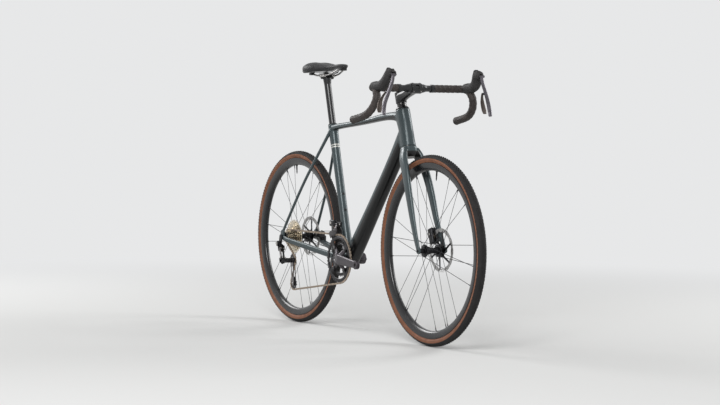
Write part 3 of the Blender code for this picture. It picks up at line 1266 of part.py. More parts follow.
def arc_outline(inner, outer_front, outer_rear, first, last, steps=8):
    """An outline between an arc about the crank axis and a longer reach above it, in degrees."""
    low, high = [], []
    for i in range(steps + 1):
        share = i / steps
        angle = math.radians(first + (last - first) * share)
        reach = outer_front + (outer_rear - outer_front) * share
        low.append((inner * math.cos(angle), inner * math.sin(angle)))
        high.append((reach * math.cos(angle), reach * math.sin(angle)))
    return low + list(reversed(high))


def front_derailleur(link_empty, cage_empty):
    """The body on its seat tube tab, the link and the cage round the chain."""
    body = block(from_rear(BB_RUN - 0.0870, -0.0270, 0.4140), (0.0380, 0.0140, 0.0250))
    neck = block(from_rear(BB_RUN - 0.0500, -0.0217, 0.4110), (0.0420, 0.0050, 0.0180))
    body = joined(body, neck)
    for way in (-1, 1):
        lug_place = FD_LINK_HEAD + FORWARD * (way * (FD_LINK_WIDTH / 2 + GAP + 0.0016))
        body = joined(body, block(lug_place, (0.0032, 0.0100, 0.0100)))
    body = cut(body, seat_tube_shape(GAP))
    piece("front_derailleur_body", body, "black_alloy")

    half = FORWARD * (FD_LINK_WIDTH / 2)
    link = tube([(FD_LINK_HEAD, 0.0060, 0.0018), (FD_LINK_FOOT, 0.0060, 0.0018)], count=8, squareness=4,
                side=FORWARD)
    eyes = [rod(end - half, end + half, FD_EYE_RADIUS, sides=12) for end in (FD_LINK_HEAD, FD_LINK_FOOT)]
    piece("front_derailleur_link", joined(link, *eyes), "grey_alloy", link_empty)

    ring_reach = pitch_radius(OUTER_RING_TEETH) + CHAIN_HEIGHT / 2
    offset = LEFT * ((FD_CAGE_GAP + FD_PLATE) / 2)
    place = CRANK_AXIS + LEFT * OUTER_RING_Y

    def above_ring(reach, degrees):
        return place + Vector((math.cos(math.radians(degrees)), 0, math.sin(math.radians(degrees)))) * reach

    outer = plate([arc_outline(ring_reach + 0.0010, 0.1120, 0.1220, 97, 128)], FD_PLATE, place - offset)
    inner = plate([arc_outline(ring_reach - 0.0100, 0.1220, 0.1290, 104, 128)], FD_PLATE, place + offset)
    bridge = block(above_ring(0.1085, 109), (0.0080, FD_CAGE_GAP + FD_PLATE, 0.0030),
                   Matrix.Rotation(math.radians(-19), 4, "Y"))
    tail = above_ring(0.1000, 126)
    pin_half = LEFT * (FD_CAGE_GAP / 2 + FD_PLATE * 0.6)
    cage = joined(outer, bridge, rod(tail - pin_half, tail + pin_half, 0.0022, sides=10), inner)
    ear_start = FD_LINK_FOOT.y + FD_EYE_RADIUS
    ear_end = (place + offset).y - FD_PLATE / 2
    for way in (-1, 1):
        ear_place = FD_LINK_FOOT + FORWARD * (way * (FD_LINK_WIDTH / 2 + GAP + 0.0016))
        ear_place.y = (ear_start + ear_end) / 2
        cage = joined(cage, block(ear_place, (0.0032, ear_start - ear_end, 0.0070)))
    piece("front_derailleur_cage", cage, "grey_alloy", cage_empty)


# Brakes

def brake(name, axle, rotor_y, pad_angle, body, foot, seat, empty, pad_empties):
    """A caliper that straddles its rotor and seats on the tube beside it, with its two pads."""
    slot_half = ROTOR_THICKNESS / 2 + PAD_CLEARANCE + PAD_THICKNESS + GAP
    slot = rod(axle + LEFT * (rotor_y - slot_half), axle + LEFT * (rotor_y + slot_half),
               ROTOR_RADIUS + 0.0020, sides=40)
    piece(f"{name}_brake_caliper", cut(joined(body, foot), slot, seat), "black_alloy", empty)
    angle = math.radians(pad_angle)
    out = Vector((math.cos(angle), 0, math.sin(angle)))
    turn = Matrix((out, LEFT, out.cross(LEFT))).transposed().to_4x4()
    offset = ROTOR_THICKNESS / 2 + PAD_CLEARANCE + PAD_THICKNESS / 2
    for way, label in ((-1, "inner"), (1, "outer")):
        place = axle + out * (ROTOR_RADIUS - ROTOR_BAND / 2) + LEFT * (rotor_y + way * offset)
        pad = block(place, (PAD_SIZE[0], PAD_THICKNESS, PAD_SIZE[1]), turn)
        piece(f"{name}_pad_{label}", pad, "pad_lining", pad_empties[label])


def front_brake(steering, pad_empties):
    """The front caliper, behind the left fork blade."""
    tilt = Matrix.Rotation(math.radians(HEAD_ANGLE - 90), 4, "Y")
    body = block(on_head(0.0080, FRONT_ROTOR_Y, 0.0640), (0.0270, CALIPER_WIDTH, 0.0600), tilt)
    foot = block(on_head(0.0210, FORK_INSIDE + 0.0022, 0.0660), (0.0200, 0.0100, 0.0540), tilt)
    brake("front", FRONT_AXLE, FRONT_ROTOR_Y, 140.0, body, foot, fork_blade(1, GAP), steering, pad_empties)


def rear_brake(pad_empties):
    """The rear caliper, on top of the left chainstay."""
    body = block(from_rear(0.0760, REAR_ROTOR_Y, 0.3560), (0.0520, CALIPER_WIDTH, 0.0270))
    foot = block(from_rear(0.0780, 0.0650, 0.3400), (0.0440, 0.0130, 0.0240))
    seat = tube(chainstay_stations(1), count=10, grow=GAP)
    brake("rear", REAR_AXLE, REAR_ROTOR_Y, 9.0, body, foot, seat, None, pad_empties)


def build():
    """Model every piece of the bike."""
    clear_scene()
    steering = joint_empty("steering_axis", STEER_FOOT)
    front_hub = joint_empty("front_wheel_axis", FRONT_AXLE, steering)
    rear_hub = joint_empty("rear_wheel_axis", REAR_AXLE)
    crank_hub = joint_empty("crank_axis", CRANK_AXIS)
    cassette_hub = joint_empty("cassette_axis", REAR_AXLE)
    seat = joint_empty("seatpost_axis", on_seat(SEAT_TUBE_LENGTH))

    front_triangle()
    chainstays()
    seatstays()
    fork(steering)
    headset(steering)
    stem(steering)
    handlebar(steering)
    for side, label in ((-1, "right"), (1, "left")):
        controls(side, label, steering)
    saddle(seat)
    seatpost(seat)

    wheel("front", FRONT_AXLE, front_hub, FRONT_HUB_WIDTH, FRONT_FLANGES, FRONT_ROTOR_Y, -0.0350, True)
    cassette_end = SMALL_COG_Y + COG_PITCH * (len(COG_TEETH) - 1) + COG_THICKNESS / 2
    wheel("rear", REAR_AXLE, rear_hub, REAR_HUB_WIDTH, REAR_FLANGES, REAR_ROTOR_Y, cassette_end + GAP * 2,
          False)
    thru_axle("front_thru_axle", FRONT_AXLE, -FORK_OUTSIDE, FORK_OUTSIDE, steering)
    rear_outside = REAR_HUB_WIDTH / 2 + GAP + DROPOUT_THICKNESS
    thru_axle("rear_thru_axle", REAR_AXLE, -rear_outside - GAP - HANGER_THICKNESS, rear_outside)

    cranks(crank_hub)
    bottom_bracket()
    cassette(cassette_hub)
    chain()

    outer_link = joint_empty("outer_link_axis", OUTER_LINK_HEAD)
    inner_link = joint_empty("inner_link_axis", INNER_LINK_HEAD)
    knuckle = joint_empty("p_knuckle_axis", OUTER_LINK_FOOT, outer_link)
    cage = joint_empty("cage_axis", CAGE_PIVOT, knuckle)
    guide = joint_empty("guide_pulley_axis", CAGE_PIVOT, cage)
    tension = joint_empty("tension_pulley_axis", TENSION_CENTRE, cage)
    rear_derailleur(outer_link, inner_link, knuckle, cage, guide, tension)
    fd_link = joint_empty("front_derailleur_link_axis", FD_LINK_HEAD)
    front_derailleur(fd_link, joint_empty("front_derailleur_cage_axis", FD_LINK_FOOT, fd_link))

    labels = ("inner", "outer")
    front_place = FRONT_AXLE + LEFT * FRONT_ROTOR_Y
    front_brake(steering, {label: joint_empty(f"front_pad_{label}_axis", front_place, steering)
                           for label in labels})
    rear_place = REAR_AXLE + LEFT * REAR_ROTOR_Y
    rear_brake({label: joint_empty(f"rear_pad_{label}_axis", rear_place) for label in labels})


build()
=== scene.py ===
"""Finished look of a cyclocross bike: smooth tubes, knobbed tyres, toothed drivetrain and controls.

Lengths are in metres. +X points forward, +Y to the rider's left and +Z up. Each operator builds one
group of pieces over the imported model, and each piece rides on the body that carries it.
"""

import json
import math

import bmesh
import bpy
from bpy.props import FloatProperty, FloatVectorProperty, IntProperty, PointerProperty
from bpy.types import Operator, Panel, PropertyGroup
from mathutils import Matrix, Vector


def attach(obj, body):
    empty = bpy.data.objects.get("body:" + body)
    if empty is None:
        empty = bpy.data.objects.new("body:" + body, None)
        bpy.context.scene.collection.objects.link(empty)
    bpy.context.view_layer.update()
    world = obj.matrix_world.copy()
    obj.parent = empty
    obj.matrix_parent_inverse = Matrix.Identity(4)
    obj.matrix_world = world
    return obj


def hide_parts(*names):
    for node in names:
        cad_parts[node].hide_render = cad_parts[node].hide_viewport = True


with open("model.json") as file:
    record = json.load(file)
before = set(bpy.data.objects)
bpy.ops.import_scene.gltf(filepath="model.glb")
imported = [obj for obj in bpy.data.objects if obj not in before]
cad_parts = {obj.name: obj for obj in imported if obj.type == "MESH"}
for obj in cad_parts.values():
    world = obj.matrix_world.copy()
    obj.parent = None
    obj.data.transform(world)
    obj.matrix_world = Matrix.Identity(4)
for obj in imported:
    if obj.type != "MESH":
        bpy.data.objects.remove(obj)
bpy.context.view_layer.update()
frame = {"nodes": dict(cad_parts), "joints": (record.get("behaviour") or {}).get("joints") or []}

bl_info = {
    "name": "Cyclocross Bike Finish",
    "version": (1, 0, 0),
    "blender": (4, 5, 0),
    "location": "View3D > Sidebar > Bike",
    "description": "Builds the finished pieces and materials of a cyclocross bike over its solids",
    "category": "Add Mesh",
}

# Sizes in metres that several pieces share
GAP = 0.0003
FORK_OFFSET = 0.047
STEM_LENGTH = 0.1086
BAR_UP = 0.5939             # the bar's height along the steering axis
STEERER_HOLE = 0.0147
CLAMP_HALF_WIDTH = 0.022   # the stem's clamp round the bar
CLAMP_RADIUS = 0.0194
CLAMP_BORE = 0.0161
BAR_RADIUS = 0.0117
TAPE_RADIUS = 0.0147
TAPE_START = 0.064          # from the middle of the bar
SHELL_HALF_WIDTH = 0.034
STAY_FOOT_Y = 0.0753
WHEEL_STEPS = 160           # faces round a tyre or a rim
KNOB_BASE = 0.3421          # the tread's own radius under the knobs
SPOKE_COUNT = 24
SPOKE_HEAD_RADIUS = 0.021  # where the spokes leave the hub
FRONT_ROTOR_Y = 0.0405
REAR_ROTOR_Y = 0.052
ROTOR_TRACK = (0.0798, 0.0668)
CRANK_LENGTH = 0.1725
CRANK_DROP = -4.0           # the right arm's angle in degrees, from straight ahead
SPIDER_TURN = 41.0
RING_BOLT_RADIUS = 0.055
RING_Y = -0.047
RING_TEETH = (46, 33)
CHAIN_PITCH = 0.0127
PULLEY_TEETH = 12
COG_TEETH = (10, 11, 12, 13, 14, 15, 17, 19, 21, 24, 28, 33)
CHAIN_COG = 4               # the cog that carries the chain, counted from the smallest
FIRST_COG_Y = -0.063
COG_SPACING = 0.00365
SADDLE_HEIGHT = 1.03
SADDLE_BACK = 0.128         # the saddle's back edge ahead of the rear axle
SADDLE_LENGTH = 0.247

LEFT = Vector((0, 1, 0))
UP = Vector((0, 0, 1))
FORWARD = Vector((1, 0, 0))
JOINTS = {joint["name"]: joint for joint in frame["joints"]}


def joint_place(name):
    """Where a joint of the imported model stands."""
    return Vector(JOINTS[name]["pos_m"])


REAR_AXLE = joint_place("rear_wheel_spin")
FRONT_AXLE = joint_place("front_wheel_spin")
CRANK_AXIS = joint_place("crank_spin")
HEAD_UP = Vector(JOINTS["steering_turn"]["axis"])
HEAD_FORWARD = Vector((HEAD_UP.z, 0, -HEAD_UP.x))
STEER_FOOT = FRONT_AXLE - HEAD_FORWARD * FORK_OFFSET
SEAT_UP = Vector(JOINTS["seatpost_slide"]["axis"])
SEAT_FORWARD = Vector((SEAT_UP.z, 0, -SEAT_UP.x))
BAR_CENTRE = STEER_FOOT + HEAD_FORWARD * STEM_LENGTH + HEAD_UP * BAR_UP
HEAD_TILT = Matrix.Rotation(math.radians(-18), 4, "Y")   # from upright to the steering axis
TENSION_PULLEY = joint_place("tension_pulley_spin")
GUIDE_PULLEY = joint_place("guide_pulley_spin")
CHAIN_Y = FIRST_COG_Y + COG_SPACING * CHAIN_COG


# Places on the bike

def on_head(forward, side, up):
    """A point in the steering axis's own frame."""
    return STEER_FOOT + HEAD_FORWARD * forward + LEFT * side + HEAD_UP * up


def on_seat(up, forward=0.0, side=0.0):
    """A point beside the seat tube's axis."""
    return CRANK_AXIS + SEAT_UP * up + SEAT_FORWARD * forward + LEFT * side


def from_rear(run, side, height):
    """A point by its run ahead of the rear axle, its side and its height above the ground."""
    return Vector((REAR_AXLE.x + run, side, height))


def hook_width(up):
    """How far a hook's own plane stands from the middle at a height from the bar's tops."""
    return 0.1945 - 0.22 * up


def on_hook(forward, up, side, shift=0.0):
    """A point in a hook's own plane, by its place from the middle of the bar."""
    return BAR_CENTRE + Vector((forward, side * (hook_width(up) + shift), up))


def in_side_view(degrees):
    """A direction square to the wheels' axes: 0 is forward and 90 is up."""
    return Vector((math.cos(math.radians(degrees)), 0, math.sin(math.radians(degrees))))


def pitch_radius(teeth):
    """The radius that a chain's pins follow on a sprocket."""
    return CHAIN_PITCH / 2 / math.sin(math.pi / teeth)


# Shapes

def ring(bm, centre, across, up, half_across, half_up, count=24, squareness=2.0):
    """A ring of points round an oval; a squareness above 2 flattens its sides."""
    verts = bmesh.ops.create_circle(bm, cap_ends=False, radius=1.0, segments=count)["verts"]
    for vert in verts:
        x, y = vert.co.x, vert.co.y
        vert.co.x = math.copysign(abs(x) ** (2 / squareness), x)
        vert.co.y = math.copysign(abs(y) ** (2 / squareness), y)
    turn = Matrix((across * half_across, up * half_up, across.cross(up))).transposed().to_4x4()
    bmesh.ops.transform(bm, matrix=Matrix.Translation(centre) @ turn, verts=verts)
    return verts


def edges_of(verts):
    """The edges round some vertices, once each and in the same order in every run."""
    return list(dict.fromkeys(edge for vert in verts for edge in vert.link_edges))


def skin(bm, rings):
    """Bridge rings in their order, and fill the two ends."""
    loops = [edges_of(verts) for verts in rings]
    for low, high in zip(loops, loops[1:]):
        bmesh.ops.bridge_loops(bm, edges=low + high)
    bmesh.ops.edgeloop_fill(bm, edges=loops[0])
    bmesh.ops.edgeloop_fill(bm, edges=loops[-1])


def curve_points(points, per_span):
    """Values on a smooth curve through a few given ones; each value is a vector of any length."""
    route = []
    padded = [points[0] * 2 - points[1], *points, points[-1] * 2 - points[-2]]
    for a, b, c, d in zip(padded, padded[1:], padded[2:], padded[3:]):
        for i in range(per_span):
            t = i / per_span
            route.append((b * 2 + (c - a) * t + (a * 2 - b * 5 + c * 4 - d) * t ** 2
                          + (b * 3 - a - c * 3 + d) * t ** 3) * 0.5)
    route.append(points[-1])
    return route


def run_at(route, i):
    """The direction of a route at one of its points."""
    return (route[min(i + 1, len(route) - 1)] - route[max(i - 1, 0)]).normalized()


def tube(bm, stations, count=24, squareness=2.3, side=LEFT, per_span=4):
    """A tapering tube through stations of (centre, half width, half depth), smoothed along its run."""
    sizes = curve_points([Vector((half_side, half_up, 0)) for _, half_side, half_up in stations], per_span)
    centres = curve_points([centre for centre, _, _ in stations], per_span)
    rings = []
    for i, (centre, size) in enumerate(zip(centres, sizes)):
        run = run_at(centres, i)
        across = (side - run * side.dot(run)).normalized()
        rings.append(ring(bm, centre, across, run.cross(across), size.x, size.y, count, squareness))
    skin(bm, rings)


def placed(place, *rows):
    """A tube's stations from rows of a place's own numbers, a half width and a half depth."""
    return [(place(*row[:-2]), *row[-2:]) for row in rows]


def sweep(bm, route, radii, count):
    """A bar along a route, with a radius for each point."""
    side = (route[1] - route[0]).orthogonal().normalized()
    rings = []
    for i, (place, radius) in enumerate(zip(route, radii)):
        run = run_at(route, i)
        side = (side - run * side.dot(run)).normalized()
        rings.append(ring(bm, place, side, run.cross(side), radius, radius, count))
    skin(bm, rings)


def lathe(bm, profile, centre, axis, steps=48, closed=True):
    """A profile of (radius, distance) points spun about an axis."""
    side = axis.orthogonal().normalized()
    verts = [bm.verts.new(centre + side * radius + axis * along) for radius, along in profile]
    ends = verts[1:] + verts[:1] if closed else verts[1:]
    edges = [bm.edges.new(pair) for pair in zip(verts, ends)]
    bmesh.ops.spin(bm, geom=verts + edges, cent=centre, axis=axis, angle=2 * math.pi, steps=steps,
                   use_merge=True)


def mirrored(half):
    """A lathe's profile from its half, whose last point is on the middle plane."""
    return half + [(radius, -along) for radius, along in reversed(half[:-1])]


def pivot_eye(bm, centre, axis, half, radius, face, steps):
    """A pivot's round eye; face is the radius of its flat ends, inside their broken edges."""
    edge = half - 0.0006
    lathe(bm, [(0, -half), (face, -half), (radius, -edge), (radius, edge), (face, half), (0, half)],
          centre, axis, steps, closed=False)


def evenly(route, step):
    """Points at even steps along a route, its two ends included."""
    lengths = [0.0]
    for a, b in zip(route, route[1:]):
        lengths.append(lengths[-1] + (b - a).length)
    count = max(1, round(lengths[-1] / step))
    made, k = [], 0
    for i in range(count + 1):
        goal = lengths[-1] * i / count
        while k < len(route) - 2 and lengths[k + 1] < goal:
            k += 1
        span = lengths[k + 1] - lengths[k]
        made.append(route[k].lerp(route[k + 1], (goal - lengths[k]) / span if span else 0.0))
    return made


def turn_to(direction):
    """The rotation that takes +Z to a direction."""
    return direction.to_track_quat("Z", "Y").to_matrix().to_4x4()


def rod(bm, start, end, radius, sides=24, end_radius=None):
    """A cylinder, or a cone, between two points."""
    along = end - start
    where = Matrix.Translation((start + end) / 2) @ turn_to(along)
    return bmesh.ops.create_cone(bm, cap_ends=True, segments=sides, radius1=radius,
                                 radius2=radius if end_radius is None else end_radius,
                                 depth=along.length, matrix=where)["verts"]


def block(bm, centre, size, turn=None, round_by=0.0, segments=3):
    """A box about its centre, turned by a matrix, with its edges rounded."""
    where = Matrix.Translation(centre) @ (turn or Matrix.Identity(4)) @ Matrix.Diagonal((*size, 1.0))
    verts = bmesh.ops.create_cube(bm, size=1.0, matrix=where)["verts"]
    if round_by:
        bmesh.ops.bevel(bm, geom=edges_of(verts), offset=round_by, affect="EDGES", segments=segments,
                        profile=0.5, material=-1)


def socket_bolt(bm, place, out, radius, height):
    """A round bolt head with its hexagonal socket."""
    side = out.orthogonal().normalized()
    up = out.cross(side)
    outline = [(radius * 0.86, 0.0), (radius, height * 0.2), (radius, height * 0.75),
               (radius * 0.88, height)]
    rings = [ring(bm, place + out * along, side, up, size, size, 18) for size, along in outline]
    rings.append(ring(bm, place + out * height, side, up, radius * 0.58, radius * 0.58, 18))
    rings.append(ring(bm, place + out * height * 0.35, side, up, radius * 0.5, radius * 0.5, 18))
    skin(bm, rings)


def alone(shape, *sizes):
    """One form in a bmesh of its own, to cut with."""
    bm = bmesh.new()
    shape(bm, *sizes)
    return bm


def take_in(bm, other):
    """Add another bmesh's forms to a first one, and free the other."""
    mesh = bpy.data.meshes.new("forms")
    other.to_mesh(mesh)
    other.free()
    bm.from_mesh(mesh)
    bpy.data.meshes.remove(mesh)


def stamp(bm, mesh, matrix):
    """Add a copy of a mesh at a place."""
    start = len(bm.verts)
    bm.from_mesh(mesh)
    bm.verts.ensure_lookup_table()
    bmesh.ops.transform(bm, matrix=matrix, verts=bm.verts[start:])


def as_object(bm, name="shape"):
    """A linked object from a bmesh with its doubles merged and its faces turned outwards."""
    bmesh.ops.remove_doubles(bm, verts=bm.verts, dist=0.000002)
    bmesh.ops.dissolve_degenerate(bm, edges=bm.edges, dist=0.000001)
    bmesh.ops.recalc_face_normals(bm, faces=bm.faces)
    mesh = bpy.data.meshes.new(name)
    bm.to_mesh(mesh)
    bm.free()
    made = bpy.data.objects.new(name, mesh)
    bpy.context.scene.collection.objects.link(made)
    return made


def evaluated(shape):
    """A new bmesh of what an object's modifiers make, in world places; the object goes."""
    graph = bpy.context.evaluated_depsgraph_get()
    graph.update()
    source = shape.evaluated_get(graph)
    mesh = bpy.data.meshes.new_from_object(source)
    mesh.transform(source.matrix_world)
    bm = bmesh.new()
    bm.from_mesh(mesh)
    bpy.data.meshes.remove(mesh)
    bpy.data.objects.remove(shape)
    return bm


def moulded(bm, voxel, smoothing):
    """Melt overlapping forms into one skin with soft joins, as moulded carbon and castings have."""
    shape = as_object(bm)
    remesh = shape.modifiers.new("melt", "REMESH")
    remesh.mode = "VOXEL"
    remesh.voxel_size = voxel
    soften = shape.modifiers.new("soften", "SMOOTH")
    soften.factor = 0.5
    soften.iterations = smoothing
    return evaluated(shape)


def cut(bm, *cutters):
    """Cut closed shapes out of a first one."""
    shape = as_object(bm)
    for cutter in cutters:
        other = as_object(cutter)
        modifier = shape.modifiers.new("cut", "BOOLEAN")
        modifier.operation = "DIFFERENCE"
        modifier.solver = "EXACT"
        modifier.object = other
        result = evaluated(shape)
        bpy.data.objects.remove(other)
        shape = as_object(result)
    result = bmesh.new()
    result.from_mesh(shape.data)
    bpy.data.objects.remove(shape)
    return result


def plate(bm, outlines, thickness, centre, across=FORWARD, up=UP, bevel=0.0):
    """A flat plate from outlines of (across, up) points; outlines after the first are holes."""
    curve = bpy.data.curves.new("plate", "CURVE")
    curve.dimensions = "2D"
    curve.fill_mode = "BOTH"
    curve.extrude = thickness / 2 - bevel
    curve.bevel_depth = bevel
    curve.bevel_resolution = 1
    curve.offset = -bevel
    for outline in outlines:
        spline = curve.splines.new("POLY")
        spline.points.add(len(outline) - 1)
        spline.use_cyclic_u = True
        for point, (u, v) in zip(spline.points, outline):
            point.co = (u, v, 0, 1)
    shape = bpy.data.objects.new("plate", curve)
    bpy.context.scene.collection.objects.link(shape)
    turn = Matrix((across, up, across.cross(up))).transposed().to_4x4()
    shape.matrix_world = Matrix.Translation(centre) @ turn
    take_in(bm, evaluated(shape))


def round_point(radius, angle, centre=(0.0, 0.0)):
    """A point on a circle in a plate's own plane, at an angle in radians."""
    return centre[0] + radius * math.cos(angle), centre[1] + radius * math.sin(angle)


def polar(count, radius_at):
    """An outline whose radius follows a function of the angle in degrees."""
    return [round_point(radius_at(360 * i / count), 2 * math.pi * i / count) for i in range(count)]


def capsule(first, second, radius, count=16, end_radius=None):
    """The outline round two circles in a plate's own (across, up) plane."""
    a, b = Vector(first), Vector(second)
    heading = math.atan2(b.y - a.y, b.x - a.x)
    half = count // 2
    outline = []
    for centre, offset, size in ((b, -math.pi / 2, end_radius or radius), (a, math.pi / 2, radius)):
        outline += [round_point(size, heading + offset + math.pi * i / half, centre)
                    for i in range(half + 1)]
    return outline


def round_hole(centre, radius, count):
    """The outline of a round hole."""
    return [round_point(radius, 2 * math.pi * i / count, centre) for i in range(count)]


def finish(name, bm, body, surface, stands_for=(), sharp=38.0):
    """Name a piece, give it its surface, hang it on the body that it rides on, and hide the solids that it
    stands for.
    """
    made = as_object(bm, name)
    made.data.materials.append(surface.material)
    made.data.shade_smooth()
    made.data.set_sharp_from_angle(angle=math.radians(sharp))
    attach(made, body)
    if stands_for:
        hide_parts(*stands_for)
    return made


def bolts_piece(name, body, surface, *heads):
    """A piece of socket bolts alone, from rows of place, direction, radius and height."""
    bm = bmesh.new()
    for head in heads:
        socket_bolt(bm, *head)
    return finish(name, bm, body, surface)


def dress(node, surface):
    """Give a solid that stays as it is a better surface."""
    frame["nodes"][node].material_slots[0].material = surface.material


# Shader maths

class Value:
    """A shader socket that Python's operators work on."""

    def __init__(self, graph, socket):
        self.graph = graph
        self.socket = socket

    def math(self, operation, first, second=0.0):
        return self.graph.node("ShaderNodeMath", {"operation": operation}, {0: first, 1: second})

    def __add__(self, other):
        return self.math("ADD", self, other)

    def __radd__(self, other):
        return self.math("ADD", other, self)

    def __sub__(self, other):
        return self.math("SUBTRACT", self, other)

    def __rsub__(self, other):
        return self.math("SUBTRACT", other, self)

    def __mul__(self, other):
        return self.math("MULTIPLY", self, other)

    def __rmul__(self, other):
        return self.math("MULTIPLY", other, self)

    def __abs__(self):
        return self.math("ABSOLUTE", self)


class Graph:
    """A node tree, and the one way that nodes are added to it."""

    def __init__(self, tree):
        self.tree = tree

    def plug(self, socket, value):
        """Link a value to a socket, or set the socket to a number or colour."""
        if isinstance(value, Value):
            self.tree.links.new(value.socket, socket)
        else:
            socket.default_value = value

    def node(self, kind, settings=None, inputs=None, output=0):
        """Add a node: its settings first, then the values or links of its sockets."""
        made = self.tree.nodes.new(kind)
        for key, value in (settings or {}).items():
            setattr(made, key, value)
        for key, value in (inputs or {}).items():
            self.plug(made.inputs[key], value)
        return Value(self, made.outputs[output])

    def background_rays(self):
        """1 for the rays that should meet the pale background, and 0 for the others."""
        camera, glossy, through = (self.node("ShaderNodeLightPath", output=f"Is {kind} Ray")
                                   for kind in ("Camera", "Glossy", "Transmission"))
        return camera.math("MAXIMUM", camera.math("MAXIMUM", camera, glossy), through)


class Surface(Graph):
    """One procedural material, which keeps the name of a slot."""

    def __init__(self, name, slot, colour, roughness, metallic=0.0, coat=0.0):
        self.slot = slot
        self.material = bpy.data.materials.new(name)
        self.material.use_nodes = True
        self.material.diffuse_color = (*colour, 1.0)
        super().__init__(self.material.node_tree)
        self.shader = self.tree.nodes["Principled BSDF"]
        for socket, value in (("Base Color", (*colour, 1.0)), ("Roughness", roughness),
                              ("Metallic", metallic), ("Coat Weight", coat), ("Coat Roughness", 0.12),
                              ("Specular IOR Level", 0.28)):
            self.feed(socket, value)

    def feed(self, socket, value):
        """Set one of the shader's sockets, or link a value to it."""
        self.plug(self.shader.inputs[socket], value)

    def place(self):
        """Object coordinates."""
        return self.node("ShaderNodeTexCoord", output="Object")

    def axis(self, name):
        return self.node("ShaderNodeSeparateXYZ", inputs={0: self.place()}, output=name)

    def noise(self, scale, detail=3.0, rough=0.55):
        """Noise between 0 and 1."""
        return self.node("ShaderNodeTexNoise", inputs={0: self.place(), "Scale": scale, "Detail": detail,
                                                      "Roughness": rough})

    def cells(self, scale, feature="F1"):
        """Distance to the nearest cell, for grain."""
        return self.node("ShaderNodeTexVoronoi", {"feature": feature}, {0: self.place(), "Scale": scale})

    def waves(self, scale, distortion):
        """Slanting bands between 0 and 1."""
        return self.node("ShaderNodeTexWave", {"bands_direction": "DIAGONAL"},
                         {0: self.place(), "Scale": scale, "Distortion": distortion})

    def ranged(self, value, low, high, to_low=0.0, to_high=1.0):
        """A value's range mapped on another, held at its ends."""
        return self.node("ShaderNodeMapRange", {"interpolation_type": "SMOOTHSTEP"},
                         {0: value, 1: low, 2: high, 3: to_low, 4: to_high})

    def blend(self, factor, first, second):
        """A mix of two colours."""
        first = first if isinstance(first, Value) else (*first, 1.0)
        second = second if isinstance(second, Value) else (*second, 1.0)
        return self.node("ShaderNodeMix", {"data_type": "RGBA"}, {0: factor, 6: first, 7: second}, 2)

    def along(self, start, direction):
        """How far a point lies along a direction from a start."""
        dot = self.node("ShaderNodeVectorMath", {"operation": "DOT_PRODUCT"},
                        {0: self.place(), 1: tuple(direction)}, "Value")
        return dot - start.dot(direction)

    def from_line(self, start, direction):
        """The distance of a point from a line."""
        away = self.node("ShaderNodeVectorMath", {"operation": "SUBTRACT"},
                         {0: self.place(), 1: tuple(start)})
        across = self.node("ShaderNodeVectorMath", {"operation": "CROSS_PRODUCT"},
                           {0: away, 1: tuple(direction)})
        return self.node("ShaderNodeVectorMath", {"operation": "LENGTH"}, {0: across}, "Value")

    def worn(self, colour, wear, low, high, tone, low_rough, high_rough):
        """Colour and roughness that follow wear or dust between two of its values."""
        self.feed("Base Color", self.blend(self.ranged(wear, low, high), colour, shade(colour, tone)))
        self.feed("Roughness", self.ranged(wear, 0.3, 0.7, low_rough, high_rough))

    def bump(self, height, strength, distance=0.001):
        """Relief from a height between 0 and 1."""
        self.feed("Normal", self.node("ShaderNodeBump", inputs={"Strength": strength, "Distance": distance,
                                                                "Height": height}))


def shade(colour, by):
    """A colour made lighter or darker."""
    return tuple(min(1.0, channel * by) for channel in colour)


# Materials

